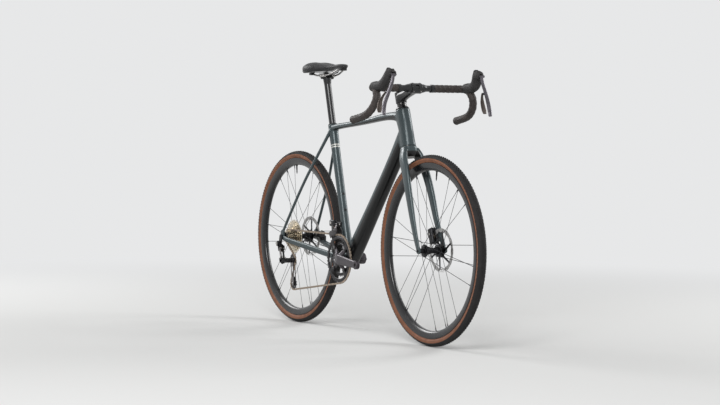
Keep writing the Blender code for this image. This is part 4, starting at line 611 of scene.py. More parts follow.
def frame_paint(name, colour, dark):
    """Satin metallic paint; dark says where it is made black: under the tubes, or in the fork's arch."""
    surface = Surface(name, "frame_paint", colour, 0.36, 0.35, 0.25)
    flakes = surface.cells(2600.0)
    broad = surface.noise(7.0, 4.0)
    grain = surface.noise(900.0, 2.0)
    paint = surface.blend(surface.ranged(flakes, 0.05, 0.6), shade(colour, 1.35), shade(colour, 0.9))
    paint = surface.blend(surface.ranged(broad, 0.35, 0.7, 0.0, 0.35), paint, shade(colour, 0.8))
    black = (0.0065, 0.0068, 0.0072)
    if dark == "tubes":
        down_run = (from_rear(0.697, 0, 0.59) - from_rear(0.5, 0, 0.356)).normalized()
        down_up = Vector((-down_run.z, 0, down_run.x))
        below = surface.ranged(surface.along(from_rear(0.6, 0, 0.474), down_up), 0.003, 0.004, 1.0, 0.0)
        clear_of_head = surface.ranged(surface.from_line(on_head(0, 0, 0.4), HEAD_UP), 0.034, 0.036)
        above_shell = surface.ranged(surface.along(from_rear(0.428, 0, 0.272), down_run), -0.06, -0.058)
        top_run = (from_rear(0.675, 0, 0.8245) - on_seat(0.52)).normalized()
        top_up = Vector((-top_run.z, 0, top_run.x))
        under_top = surface.ranged(surface.along(from_rear(0.523, 0, 0.8065), top_up), -0.0035, -0.0028,
                                   1.0, 0.0)
        high = surface.ranged(surface.axis("Z"), 0.752, 0.756)
        clear_of_seat = surface.ranged(surface.from_line(on_seat(0), SEAT_UP), 0.024, 0.027)
        mask = below * clear_of_head * above_shell * (1 - high) * surface.ranged(
            surface.along(on_seat(0), SEAT_FORWARD), 0.02, 0.022)
        mask = mask + under_top * high * clear_of_head * clear_of_seat
        band_place = surface.along(on_seat(0.448), SEAT_UP)
        band = surface.ranged(abs(abs(band_place) - 0.0042), 0.0021, 0.0026, 1.0, 0.0) * surface.ranged(
            surface.from_line(on_seat(0), SEAT_UP), 0.022, 0.024, 1.0, 0.0)
        # Black on the lower half of the down tube and on the top tube's underside
        paint = surface.blend(mask, paint, black)
        paint = surface.blend(band, paint, (0.46, 0.46, 0.43))
    if dark == "fork":
        arch = surface.ranged(abs(surface.axis("Y")), 0.0268, 0.0276, 1.0, 0.0)
        below_crown = surface.ranged(surface.along(STEER_FOOT, HEAD_UP), 0.38, 0.385, 1.0, 0.0)
        # Black in the arch under the crown, between the blades
        paint = surface.blend(arch * below_crown, paint, black)
    surface.feed("Base Color", paint)
    surface.feed("Roughness", surface.ranged(grain * 0.6 + broad * 0.4, 0.3, 0.7, 0.3, 0.44))
    surface.bump(grain, 0.05, 0.0002)
    return surface


def black_gloss(name, weave=True):
    """Black carbon under clear lacquer, with a faint weave."""
    colour = (0.009, 0.009, 0.01)
    surface = Surface(name, "black_carbon", colour, 0.24, 0.0, 0.35)
    soft = surface.noise(30.0, 4.0)
    if weave:
        mask = surface.ranged(surface.waves(700.0, 0.4), 0.3, 0.7)
        surface.feed("Base Color", surface.blend(mask, shade(colour, 0.9), shade(colour, 1.35)))
    else:
        surface.feed("Base Color", surface.blend(soft, shade(colour, 0.8), shade(colour, 1.5)))
    surface.feed("Roughness", surface.ranged(soft, 0.3, 0.7, 0.18, 0.32))
    surface.bump(surface.noise(700.0, 2.0), 0.03, 0.0002)
    return surface


def metal(name, slot, colour, roughness, metallic=0.9, scale=60.0):
    """Machined or anodised metal with fine tool marks, and tone and gloss that handling has changed."""
    surface = Surface(name, slot, colour, roughness, metallic)
    soft = surface.noise(scale, 5.0)
    surface.feed("Base Color", surface.blend(surface.ranged(soft, 0.35, 0.7), shade(colour, 0.86),
                                             shade(colour, 1.25)))
    fine = surface.noise(scale * 7, 3.0)
    surface.feed("Roughness", surface.ranged(fine * 0.5 + soft * 0.5, 0.3, 0.7, roughness - 0.07,
                                             roughness + 0.07))
    surface.bump(fine, 0.1, 0.0003)
    return surface


def rubber(name, slot, colour, roughness=0.78, relief=0.25, scale=1500.0):
    """Matt rubber with a fine moulded grain and dust in its low places."""
    surface = Surface(name, slot, colour, roughness)
    dust = surface.noise(24.0, 6.0, 0.65)
    surface.worn(colour, dust, 0.42, 0.75, 1.8, roughness - 0.08, roughness + 0.08)
    surface.bump(surface.cells(scale), relief, 0.0002)
    return surface


def tan_wall(name, colour, centre):
    """Tan casing with its thread lines round the wheel and a darker ring near the rim."""
    surface = Surface(name, "tyre_rubber", colour, 0.66)
    out = surface.from_line(centre, LEFT)
    threads = surface.node("ShaderNodeMath", {"operation": "SINE"}, {0: out * 9000.0})
    stain = surface.noise(40.0, 6.0, 0.62)
    tan = surface.blend(surface.ranged(stain, 0.35, 0.75), colour, shade(colour, 0.66))
    tan = surface.blend(surface.ranged(threads, -0.6, 0.9, 0.0, 0.35), tan, shade(colour, 1.22))
    line = surface.ranged(abs(out - 0.3247), 0.0003, 0.0007, 1.0, 0.0)
    tan = surface.blend(line * 0.8, tan, (0.045, 0.026, 0.018))
    surface.feed("Base Color", tan)
    surface.feed("Roughness", surface.ranged(stain, 0.3, 0.7, 0.58, 0.74))
    surface.bump(threads, 0.15, 0.0002)
    return surface


def bar_tape_surface(colour):
    """Wound tape: matt, finely grained, worn paler where it is held."""
    surface = Surface("bar_tape_weave", "bar_tape", colour, 0.62)
    rub = surface.noise(28.0, 5.0, 0.6)
    surface.worn(colour, rub, 0.4, 0.72, 2.0, 0.5, 0.7)
    surface.bump(surface.cells(1300.0) * 0.6 + surface.noise(500.0) * 0.4, 0.35, 0.0003)
    return surface


def hood_rubber_surface(colour):
    """Moulded hood rubber with rows of small ribs on its sides."""
    surface = Surface("hood_rubber_grain", "hood_rubber", colour, 0.66)
    dust = surface.noise(30.0, 6.0, 0.62)
    surface.worn(colour, dust, 0.4, 0.72, 1.8, 0.56, 0.74)
    ribs = surface.waves(130.0, 0.0)
    ahead = surface.along(BAR_CENTRE, FORWARD)
    held = surface.ranged(ahead, 0.06, 0.075) * surface.ranged(ahead, 0.108, 0.12, 1.0, 0.0)
    surface.bump(surface.cells(1600.0) * 0.25 + ribs * held * 0.75, 0.3, 0.0005)
    return surface


def saddle_surface(colour):
    """Satin saddle cover with a fine leather grain and a smoother middle."""
    surface = Surface("saddle_cover_grain", "saddle_cover", colour, 0.5)
    soft = surface.noise(26.0, 5.0, 0.6)
    surface.feed("Base Color", surface.blend(surface.ranged(soft, 0.4, 0.72), colour, shade(colour, 1.9)))
    middle = surface.ranged(abs(surface.axis("Y")), 0.012, 0.016)
    surface.feed("Roughness", surface.ranged(soft, 0.3, 0.7, 0.36, 0.5) + middle * 0.08)
    grain = surface.cells(900.0, "DISTANCE_TO_EDGE")
    surface.bump(surface.ranged(grain, 0.0, 0.25) * (0.25 + middle * 0.75), 0.3, 0.0003)
    return surface


# Sizes and colours that a user may change

def length_setting(label, description, default, low, high):
    """A length in metres."""
    return FloatProperty(name=label, description=description, default=default, min=low, max=high,
                         unit="LENGTH")


def colour_setting(label, description, default):
    """A colour."""
    return FloatVectorProperty(name=label, description=description, default=default, min=0, max=1,
                               subtype="COLOR")


class FrameLooks(PropertyGroup):
    """Settings of the frame and fork"""

    colour: colour_setting("Paint", "Colour of the frame and fork", (0.052, 0.07, 0.075))
    voxel: length_setting("Detail", "Size of the skin's faces before they are smoothed", 0.0026, 0.0015,
                          0.006)


class WheelLooks(PropertyGroup):
    """Settings of the wheels"""

    tread_height: length_setting("Tread height", "Height of the middle knobs", 0.0028, 0.0005, 0.004)
    tread_rows: IntProperty(name="Tread rows", description="Rows of knobs round the tyre",
                            default=156, min=60, max=260)
    wall_colour: colour_setting("Side wall", "Colour of the tyre's casing", (0.225, 0.09, 0.047))
    spoke_radius: length_setting("Spoke radius", "Half a spoke's thickness", 0.001, 0.0005, 0.0015)


class CockpitLooks(PropertyGroup):
    """Settings of the bar and its controls"""

    tape_colour: colour_setting("Tape", "Colour of the bar tape", (0.034, 0.028, 0.026))
    tape_step: length_setting("Tape step", "How far each turn of the tape stands proud", 0.0014, 0, 0.002)
    hood_colour: colour_setting("Hoods", "Colour of the rubber hoods", (0.022, 0.021, 0.021))
    lever_colour: colour_setting("Levers", "Colour of the brake levers", (0.115, 0.108, 0.12))


class DrivetrainLooks(PropertyGroup):
    """Settings of the cranks, chain and cassette"""

    crank_colour: colour_setting("Cranks", "Colour of the crank arms", (0.066, 0.059, 0.066))
    chain_colour: colour_setting("Chain", "Colour of the chain's links", (0.33, 0.27, 0.215))
    cog_colour: colour_setting("Cogs", "Colour of the cassette's cogs", (0.6, 0.54, 0.44))


class SaddleLooks(PropertyGroup):
    """Settings of the saddle"""

    cover_colour: colour_setting("Cover", "Colour of the saddle's cover", (0.02, 0.02, 0.021))


class StageLooks(PropertyGroup):
    """Settings of the floor, backdrop and light"""

    floor_colour: colour_setting("Floor", "Colour of the floor", (0.74, 0.74, 0.73))
    backdrop_colour: colour_setting("Backdrop", "Colour behind the bike", (0.8, 0.805, 0.81))
    room_light: FloatProperty(name="Room light", description="Strength of the light from all round",
                              default=0.32, min=0, max=2)
    lamp_light: FloatProperty(name="Lamp light", description="Strength of the three lamps together",
                              default=1.0, min=0, max=4)


# Wheels

# Rows of knobs: place beside the middle, share of a step ahead, length, width and share of the height
KNOB_ROWS = ((0.0026, 0.0, 0.0052, 0.004, 1.0), (-0.0026, 0.5, 0.0052, 0.004, 1.0),
             (0.0076, 0.5, 0.005, 0.004, 0.95), (-0.0076, 0.0, 0.005, 0.004, 0.95),
             (0.0121, 0.0, 0.0052, 0.004, 0.95), (-0.0121, 0.5, 0.0052, 0.004, 0.95),
             (0.0154, 0.5, 0.0062, 0.0034, 1.0), (-0.0154, 0.0, 0.0062, 0.0034, 1.0))


def tyre(name, axle, looks):
    """Casing and knobbed tread of one tyre."""
    wall = tan_wall(f"{name}_tan_wall", tuple(looks.wall_colour), axle)
    outside = [(0.3112, -0.0104), (0.316, -0.0104), (0.3176, -0.0118), (0.3205, -0.0141),
               (0.3245, -0.016), (0.329, -0.0168), (0.333, -0.0164)]
    crown = [(0.3364, -0.0147), (0.3392, -0.0117), (0.341, -0.0078), (0.3417, -0.0035), (0.3419, 0.0)]
    inner = [(0.3112, 0.0085), (0.325, 0.0135), (0.337, 0.01), (0.34, 0.0)]
    casing = alone(lathe, mirrored(outside + crown) + mirrored(inner), axle, LEFT, WHEEL_STEPS)
    finish(f"{name}_tyre_casing", casing, f"{name}_wheel", wall, [f"{name}_tyre"])

    bm = bmesh.new()
    top = [(0.3322, -0.0167), (0.3336, -0.017), (0.3366, -0.0151), (0.3394, -0.012), (0.3412, -0.008),
           (0.3419, -0.0036), (KNOB_BASE, 0.0)]
    under = [(0.332, 0.0158), (0.339, 0.0085), (0.3405, 0.0)]
    lathe(bm, mirrored(top) + mirrored(under), axle, LEFT, WHEEL_STEPS)
    pitch = 2 * math.pi / looks.tread_rows
    height = looks.tread_height
    knobs = bmesh.new()
    for side, phase, length, width, share in KNOB_ROWS:
        lean = math.asin(max(-1.0, min(1.0, side / 0.0172)))
        radius = KNOB_BASE - 0.0155 * (1 - math.cos(lean))
        rise = height * share
        where = (Matrix.Translation(axle) @ Matrix.Rotation(phase * pitch, 4, "Y")
                 @ Matrix.Translation(Vector((0, side, radius))) @ Matrix.Rotation(-lean, 4, "X")
                 @ Matrix.Diagonal((length, width, rise * 2, 1.0)))
        verts = bmesh.ops.create_cube(knobs, size=1.0, matrix=where)["verts"]
        tops = [face for face in dict.fromkeys(f for v in verts for f in v.link_faces)
                if (face.calc_center_median() - axle).length > radius + rise * 0.4]
        for face in tops:
            bmesh.ops.scale(knobs, vec=(0.8, 0.8, 0.8), verts=face.verts[:],
                            space=Matrix.Translation(-face.calc_center_median()))
    bmesh.ops.spin(knobs, geom=knobs.verts[:] + knobs.edges[:] + knobs.faces[:], cent=axle, axis=LEFT,
                   angle=2 * math.pi - pitch, steps=looks.tread_rows - 1, use_duplicate=True)
    take_in(bm, knobs)
    tread = rubber(f"{name}_tread_rubber", "tyre_rubber", (0.021, 0.02, 0.02), 0.82, 0.3, 900.0)
    finish(f"{name}_tyre_tread", bm, f"{name}_wheel", tread, sharp=30)


def rim(name, axle, valve_angle):
    """Deep rim with rounded walls, and its valve."""
    surface = black_gloss(f"{name}_rim_carbon", weave=False)
    half = [(0.3165, 0.0109), (0.3168, 0.0122), (0.3162, 0.0134), (0.312, 0.0136), (0.306, 0.0132),
            (0.299, 0.012), (0.293, 0.01), (0.2895, 0.0072), (0.288, 0.0036), (0.2877, 0.0)]
    channel = [(0.313, -0.0107), (0.3098, -0.0104), (0.3085, -0.005), (0.3085, 0.005), (0.3098, 0.0104),
               (0.313, 0.0107)]
    shell = alone(lathe, mirrored(half) + channel, axle, LEFT, WHEEL_STEPS)
    finish(f"{name}_rim_shell", shell, f"{name}_wheel", surface, [f"{name}_rim"], sharp=50)
    out = in_side_view(valve_angle)
    bm = bmesh.new()
    foot = axle + out * 0.288
    lathe(bm, [(0, 0.002), (0.0046, 0.002), (0.0046, -0.0022), (0.003, -0.0036), (0.003, -0.018),
               (0.0024, -0.0185), (0.0024, -0.03), (0.0013, -0.0312), (0.0013, -0.035), (0, -0.035)],
          foot, out, 14, closed=False)
    brass = metal(f"{name}_valve_metal", "black_alloy", (0.03, 0.03, 0.032), 0.35)
    finish(f"{name}_valve", bm, f"{name}_wheel", brass)


# Places along a spoke, with its width and thickness there: it is flattened between its two ends
SPOKE_SHAPE = ((0.0, 1.0, 1.0), (0.06, 1.0, 1.0), (0.1, 1.15, 0.5), (0.88, 1.15, 0.5), (0.93, 1.0, 1.0),
               (1.0, 1.0, 1.0))


def spokes(name, axle, label, flange_y, turn, looks, surface):
    """One side's spokes with their nipples, and the hub's flange."""
    count = SPOKE_COUNT // 2
    bm = bmesh.new()
    side = math.copysign(1.0, flange_y)
    lathe(bm, [(0.0153, -0.002), (0.0225, -0.002), (0.0235, -0.0012), (0.0235, 0.0012), (0.0225, 0.002),
               (0.0153, 0.002)], axle + LEFT * flange_y, LEFT, 72)
    for i in range(count):
        heading = 1 if i % 2 else -1
        at_hub = math.radians(turn + 360 * i / count)
        at_rim = at_hub + heading * math.radians(360 * 2 / count + 8)
        x, z = round_point(SPOKE_HEAD_RADIUS, at_hub)
        start = axle + Vector((x, flange_y + side * 0.0008 * heading, z))
        x, z = round_point(0.2885, at_rim)
        end = axle + Vector((x, side * 0.002, z))
        run = (end - start).normalized()
        flat = LEFT.cross(run).normalized()
        size = looks.spoke_radius
        skin(bm, [ring(bm, start.lerp(end, share), flat, run.cross(flat), size * wide, size * thin, 6)
                  for share, wide, thin in SPOKE_SHAPE])
        rod(bm, end - run * 0.0125, end + run * 0.001, 0.0017, 8, 0.0021)
        rod(bm, start - run * 0.0012, start + run * 0.0022, 0.0021, 8, 0.0014)
    finish(f"{name}_laced_spokes_{label}", bm, f"{name}_wheel", surface, [f"{name}_spokes_{label}"],
           sharp=45)


def hub(name, axle, width, low, high, capped):
    """Hub barrel between its flanges, with its end caps; a cassette carries its own."""
    half = width / 2 - GAP
    middle = (low + high) / 2
    profile = [(0.0063, half), (0.0088, half), (0.009, half - 0.001), (0.009, high), (0.014, high),
               (0.015, high - 0.001), (0.015, high - 0.019), (0.0105, middle + 0.006),
               (0.0105, middle - 0.006), (0.015, low + 0.019), (0.015, low + 0.001), (0.014, low)]
    if capped:
        profile += [(0.009, low), (0.009, -half + 0.001), (0.0088, -half), (0.0063, -half)]
    else:
        profile.append((0.0063, low))
    surface = metal(f"{name}_hub_metal", "black_alloy", (0.02, 0.02, 0.022), 0.3, 0.85)
    finish(f"{name}_hub_shell", alone(lathe, profile, axle, LEFT, 64), f"{name}_wheel", surface,
           [f"{name}_hub"])


def rotor(name, axle, rotor_y):
    """Disc rotor: drilled brake track, swept arms and the splined ring that locks it."""
    centre = axle + LEFT * rotor_y
    outside, inside = ROTOR_TRACK
    bm = bmesh.new()
    outer = polar(180, lambda a: outside + 0.0006 * math.cos(math.radians(a * 12)))
    inner = polar(144, lambda a: inside - 0.0012 * math.cos(math.radians(a * 12)))
    holes = [round_hole(round_point(radius, math.radians((i + step) * 10)), size, 8) for i in range(36)
             for step, radius, size in ((0.0, 0.076, 0.0019), (0.36, 0.0722, 0.0017),
                                        (0.7, 0.069, 0.0013))]
    plate(bm, [outer, inner, *holes], 0.0018, centre)
    steel = metal(f"{name}_rotor_steel", "steel", (0.36, 0.355, 0.35), 0.36, 1.0, 120.0)
    finish(f"{name}_rotor_track", bm, f"{name}_wheel", steel, [f"{name}_rotor"], sharp=30)
    bm = bmesh.new()
    for i in range(6):
        start = math.radians(60 * i)
        foot, tip = round_point(0.0215, start), round_point(inside, start + 0.42)
        plate(bm, [capsule(foot, tip, 0.0046, 12, 0.003)], 0.0017, centre)
        plate(bm, [round_hole(tip, 0.0042, 12)], 0.0019, centre)
    splines = polar(48, lambda a: 0.0153 + 0.0004 * (a % 15 < 7))
    plate(bm, [round_hole((0, 0), 0.0255, 72), splines], 0.0017, centre)
    lathe(bm, [(0.0153, 0.004), (0.0205, 0.004), (0.0222, 0.0026), (0.0222, -0.0006), (0.0153, -0.0006)],
          centre, LEFT, 48)
    black = metal(f"{name}_carrier_metal", "black_alloy", (0.024, 0.024, 0.026), 0.34, 0.85)
    finish(f"{name}_rotor_carrier", bm, f"{name}_wheel", black, sharp=30)


class BIKE_OT_wheels(Operator):
    """Tyres, rims, spokes, hubs and rotors"""

    bl_idname = "bike.wheels"
    bl_label = "Wheels"

    def execute(self, context):
        looks = context.scene.wheel_looks
        for name, axle, width, flanges, rotor_y, low, valve, capped in (
                ("front", FRONT_AXLE, 0.1, (-0.03, 0.026), FRONT_ROTOR_Y, -0.035, 84.0, True),
                ("rear", REAR_AXLE, 0.142, (-0.0165, 0.035), REAR_ROTOR_Y, -0.0215, 95.0, False)):
            tyre(name, axle, looks)
            rim(name, axle, valve)
            steel = metal(f"{name}_spoke_steel", "black_alloy", (0.035, 0.035, 0.038), 0.3, 0.9)
            spokes(name, axle, "right", flanges[0], 0, looks, steel)
            spokes(name, axle, "left", flanges[1], 15, looks, steel)
            hub(name, axle, width, low, rotor_y + 0.0034, capped)
            rotor(name, axle, rotor_y)
        return {"FINISHED"}


# Frame and fork

def down_tube(bm):
    """The down tube, deepest at the bottom bracket."""
    lower = placed(from_rear, (0.428, 0, 0.272, 0.028, 0.03), (0.5, 0, 0.356, 0.028, 0.0295),
                   (0.6, 0, 0.474, 0.0262, 0.027), (0.697, 0, 0.59, 0.0252, 0.026),
                   (0.773, 0, 0.684, 0.025, 0.0262))
    tube(bm, lower + placed(on_head, (0.002, 0, 0.46, 0.0235, 0.0295)), 32, 2.8, per_span=6)


def front_triangle(looks, paint):
    """Head tube, top tube, down tube, seat tube and shell as one moulded skin."""
    bm = bmesh.new()
    down_tube(bm)
    low, high = 0.403, 0.5485
    tube(bm, placed(on_head, (0, 0, low, 0.0282, 0.0295), (0, 0, low + 0.018, 0.027, 0.029),
                    (0.002, 0, 0.4757, 0.025, 0.028), (0.001, 0, high - 0.02, 0.0256, 0.027),
                    (0.001, 0, high, 0.0256, 0.0262)), 32, 2.15)
    top_tube = placed(on_seat, (0.52, 0.015, 0.0115)) + placed(
        from_rear, (0.33, 0, 0.7895, 0.0165, 0.0112), (0.523, 0, 0.8065, 0.0175, 0.0105),
        (0.675, 0, 0.8245, 0.019, 0.0132), (0.755, 0, 0.828, 0.0205, 0.0165))
    tube(bm, top_tube + placed(on_head, (-0.004, 0, 0.5195, 0.0215, 0.0225)), 32, 2.5, per_span=6)
    middle = (low + high) / 2
    tube(bm, placed(on_head, (-0.016, 0, high - 0.026, 0.0182, 0.0262),
                    (-0.012, 0, middle + 0.014, 0.0172, 0.0252),
                    (-0.011, 0, middle - 0.014, 0.0172, 0.0252),
                    (-0.014, 0, low + 0.05, 0.0182, 0.0262)), 28, 2.4)
    tube(bm, placed(on_seat, (0.0, 0.0215, 0.0215), (0.06, 0.018, 0.019), (0.14, 0.0162, 0.0165),
                    (0.4, 0.0162, 0.0165), (0.47, 0.0172, 0.0185), (0.536, 0.0178, 0.0185)), 28, 2.3)
    rod(bm, CRANK_AXIS - LEFT * SHELL_HALF_WIDTH, CRANK_AXIS + LEFT * SHELL_HALF_WIDTH, 0.0238, 40)
    block(bm, on_seat(0.13, -0.004, -0.0159), (0.018, 0.0066, 0.018))
    finish("frame_skin", moulded(bm, looks.voxel, 8), "frame", paint, ["front_triangle"], sharp=50)


def stays(looks, paint):
    """Chainstays, seatstays, dropouts and the bridges between them."""
    bm = bmesh.new()
    for side in (-1, 1):
        tube(bm, placed(from_rear, (0.402, side * 0.018, 0.284, 0.012, 0.015),
                        (0.36, side * 0.0268, 0.287, 0.0079, 0.0138),
                        (0.3, side * 0.033, 0.293, 0.0079, 0.0122),
                        (0.15, side * 0.0545, 0.316, 0.0079, 0.0114),
                        (0.05, side * 0.07, 0.3315, 0.0073, 0.0103),
                        (0.008, side * STAY_FOOT_Y, 0.341, 0.0043, 0.0092)), 24, 2.5, per_span=6)
        top = from_rear(0.287, side * 0.0115, 0.779)
        foot = from_rear(0.003, side * STAY_FOOT_Y, 0.364)
        run = [(0.0, 0.0074, 0.0087), (0.12, 0.0057, 0.007), (0.5, 0.005, 0.0064),
               (0.85, 0.005, 0.0062), (0.965, 0.0044, 0.006), (1.0, 0.0042, 0.0075)]
        tube(bm, [(top.lerp(foot, share) + LEFT * (side * 0.01 * math.sin(math.pi * share)), wide, deep)
                  for share, wide, deep in run], 20, 2.3, per_span=6)
        plate(bm, [capsule((0.0, 0.0), (0.003, 0.016), 0.0128, 32)], 0.0083,
              REAR_AXLE + LEFT * (side * STAY_FOOT_Y))
    tube(bm, [(from_rear(0.403, -0.02, 0.284), 0.015, 0.012),
              (from_rear(0.403, 0.02, 0.284), 0.015, 0.012)], 24, side=UP)
    tube(bm, [(from_rear(0.267, y, 0.765), 0.0085, 0.01) for y in (-0.014, 0.014)], 24, side=UP)
    finish("stays_skin", moulded(bm, looks.voxel * 0.62, 6), "frame", paint, ["chainstays", "seatstays"],
           sharp=50)


def frame_fittings(black, steel):
    """Bottle bolts, the seat tube's rubber lip and its clamp bolt."""
    bm = bmesh.new()
    off_down_tube = Vector((-0.7671, 0, 0.6415))
    for place, out in ((on_seat(0.19, 0.0175), SEAT_FORWARD), (on_seat(0.254, 0.0175), SEAT_FORWARD),
                       (Vector((0.0474, 0, 0.4675)), off_down_tube),
                       (Vector((0.0885, 0, 0.5166)), off_down_tube)):
        lathe(bm, [(0, -0.004), (0.0052, -0.004), (0.0052, -0.0002), (0.0046, 0.0002), (0, 0.0002)],
              place, out, 24, closed=False)
        socket_bolt(bm, place, out, 0.0042, 0.0026)
    socket_bolt(bm, on_seat(0.512, -0.018), -SEAT_FORWARD, 0.004, 0.0022)
    finish("frame_bolts", bm, "frame", steel)
    profile = [(0.0139, 0.533), (0.0176, 0.534), (0.0178, 0.5364), (0.0168, 0.5378), (0.0139, 0.5388)]
    finish("seat_tube_lip", alone(lathe, profile, CRANK_AXIS, SEAT_UP, 48), "frame", black)


class BIKE_OT_frame(Operator):
    """Front triangle, stays and small frame parts"""

    bl_idname = "bike.frame"
    bl_label = "Frame"

    def execute(self, context):
        looks = context.scene.frame_looks
        front_triangle(looks, frame_paint("frame_paint_tubes", tuple(looks.colour), "tubes"))
        stays(looks, frame_paint("frame_paint_stays", tuple(looks.colour), ""))
        black = rubber("seat_lip_rubber", "black_carbon", (0.02, 0.02, 0.021), 0.6)
        frame_fittings(black, metal("frame_bolt_steel", "black_alloy", (0.05, 0.05, 0.052), 0.32))
        return {"FINISHED"}


class BIKE_OT_fork(Operator):
    """Fork blades with their crown and dropouts"""

    bl_idname = "bike.fork"
    bl_label = "Fork"

    def execute(self, context):
        looks = context.scene.frame_looks
        bm = bmesh.new()
        tube(bm, placed(on_head, (0.001, 0, 0.364, 0.025, 0.02), (0.001, 0, 0.375, 0.0332, 0.0257),
                        (0, 0, 0.39, 0.0327, 0.029), (0, 0, 0.4028, 0.0284, 0.0297)), 32, 2.3)
        blade = ((0.002, 0.0235, 0.388, 0.011, 0.024), (0.0105, 0.0352, 0.356, 0.0107, 0.0234),
                 (0.0225, 0.0422, 0.3, 0.0101, 0.0212), (0.0295, 0.0474, 0.22, 0.0094, 0.0182),
                 (0.033, 0.0503, 0.11, 0.0071, 0.0147), (0.043, 0.0543, 0.03, 0.0051, 0.0124),
                 (0.0475, 0.0543, -0.009, 0.0041, 0.0087))
        for side in (-1, 1):
            tube(bm, [(on_head(forward, side * out, up), wide, deep)
                      for forward, out, up, wide, deep in blade], 28, 2.4, per_span=6)
            rod(bm, FRONT_AXLE + LEFT * (side * 0.05), FRONT_AXLE + LEFT * (side * 0.0584), 0.0118, 32)
        body = moulded(bm, looks.voxel * 0.66, 6)
        hub_gap = alone(rod, FRONT_AXLE - LEFT * 0.0503, FRONT_AXLE + LEFT * 0.0503, 0.024, 48)
        faces = bmesh.new()
        for side in (-1, 1):
            face = FRONT_AXLE + LEFT * (side * 0.0583)
            rod(faces, face, face + LEFT * (side * 0.01), 0.0095, 32)
        paint = frame_paint("frame_paint_fork", tuple(looks.colour), "fork")
        finish("fork_skin", cut(body, hub_gap, faces), "steering", paint, ["fork"], sharp=45)
        return {"FINISHED"}


# Steering stack, bar and controls

def headset_and_spacers(black, bolts):
    """The headset's cover and the spacers over it, with the bright edges between them."""
    bm = bmesh.new()
    lathe(bm, [(0.0213, 0.5489), (0.0252, 0.5489), (0.0256, 0.5498), (0.0252, 0.5508), (0.0217, 0.556),
               (0.0212, 0.5567), (STEERER_HOLE, 0.5567), (STEERER_HOLE, 0.5563), (0.0213, 0.5563)],
          STEER_FOOT, HEAD_UP, 64)
    for low, high in ((0.5569, 0.5623), (0.5626, 0.5679), (0.5682, 0.5735)):
        lathe(bm, [(STEERER_HOLE, low), (0.0168, low), (0.0173, low + 0.0006), (0.0173, high - 0.0006),
                   (0.0168, high), (STEERER_HOLE, high)], STEER_FOOT, HEAD_UP, 64)
    finish("headset_top", bm, "steering", black, ["headset_cover"])
    bm = bmesh.new()
    for up in (0.5568, 0.56245, 0.56805, 0.5737):
        low, high = up - 0.0002, up + 0.0002
        lathe(bm, [(STEERER_HOLE, low), (0.017, low), (0.017, high), (STEERER_HOLE, high)],
              STEER_FOOT, HEAD_UP, 64)
    finish("spacer_edges", bm, "steering", bolts)


def stem_pieces(black, bolts):
    """Stem, faceplate, top cap and their bolts."""
    clamp = BAR_CENTRE - LEFT * CLAMP_HALF_WIDTH, BAR_CENTRE + LEFT * CLAMP_HALF_WIDTH, CLAMP_RADIUS, 48
    bore = BAR_CENTRE - LEFT * 0.04, BAR_CENTRE + LEFT * 0.04, CLAMP_BORE, 48
    corners = [(side, rise) for side in (-1, 1) for rise in (-1, 1)]

    bm = alone(rod, on_head(0, 0, BAR_UP - 0.02), on_head(0, 0, BAR_UP + 0.02), 0.0205, 48)
    tube(bm, placed(on_head, (0.004, 0, BAR_UP, 0.0212, 0.0192), (0.045, 0, BAR_UP, 0.0165, 0.0162),
                    (0.0966, 0, BAR_UP, 0.0195, 0.0157)), 32, 2.6)
    rod(bm, *clamp)
    block(bm, on_head(-0.0185, 0, BAR_UP), (0.01, 0.016, 0.034), HEAD_TILT)
    ahead = alone(block, on_head(0.1593, 0, BAR_UP), (0.1, 0.1, 0.1), HEAD_TILT)
    slit = alone(block, on_head(-0.0225, 0, BAR_UP), (0.016, 0.0016, 0.05), HEAD_TILT)
    body = cut(moulded(bm, 0.0012, 5), alone(rod, *bore), ahead, slit)
    finish("stem_body", body, "steering", black, ["stem"], sharp=45)

    bm = alone(rod, *clamp)
    for side, rise in corners:
        rod(bm, on_head(0.104, side * 0.015, BAR_UP + rise * 0.0158),
            on_head(0.1205, side * 0.015, BAR_UP + rise * 0.0145), 0.0042, 24, 0.0038)
    behind = alone(block, on_head(0.0599, 0, BAR_UP), (0.1, 0.1, 0.1), HEAD_TILT)
    window = alone(block, on_head(0.129, 0, BAR_UP), (0.03, 0.016, 0.016), HEAD_TILT, 0.004)
    body = cut(moulded(bm, 0.0012, 5), behind, alone(rod, *bore), window)
    finish("stem_front", body, "steering", black, ["stem_faceplate"], sharp=45)

    bm = bmesh.new()
    for side, rise in corners:
        socket_bolt(bm, on_head(0.12, side * 0.015, BAR_UP + rise * 0.0145), HEAD_FORWARD, 0.003, 0.002)
        socket_bolt(bm, on_head(-0.0185, side * 0.0082, BAR_UP + rise * 0.01), LEFT * side, 0.0034, 0.0026)
    lathe(bm, [(0, 0.6181), (0.012, 0.6181), (0.015, 0.6177), (0.0172, 0.616), (0.0172, 0.6142),
               (0, 0.6142)], STEER_FOOT, HEAD_UP, 48, closed=False)
    socket_bolt(bm, on_head(0, 0, 0.6178), HEAD_UP, 0.0052, 0.0016)
    finish("stem_bolts", bm, "steering", bolts)


HOOK_POINTS = ((0.000, 0.15, 0.000), (0.012, 0.184, 0.000), (0.045, None, -0.003),
               (0.0685, None, -0.029), (0.066, None, -0.058), (0.045, None, -0.084),
               (0.008, None, -0.1025), (-0.067, None, -0.1165))   # forward, out and up from the middle


def bar_half(side):
    """The handlebar's centre line on one side, from where its tape starts to its end."""
    straight = [BAR_CENTRE + LEFT * (side * y) for y in (TAPE_START, (TAPE_START + 0.15) / 2)]
    hook = [BAR_CENTRE + Vector((forward, side * (hook_width(up) if out is None else out), up))
            for forward, out, up in HOOK_POINTS]
    return evenly(straight + curve_points(hook, 14), 0.002)


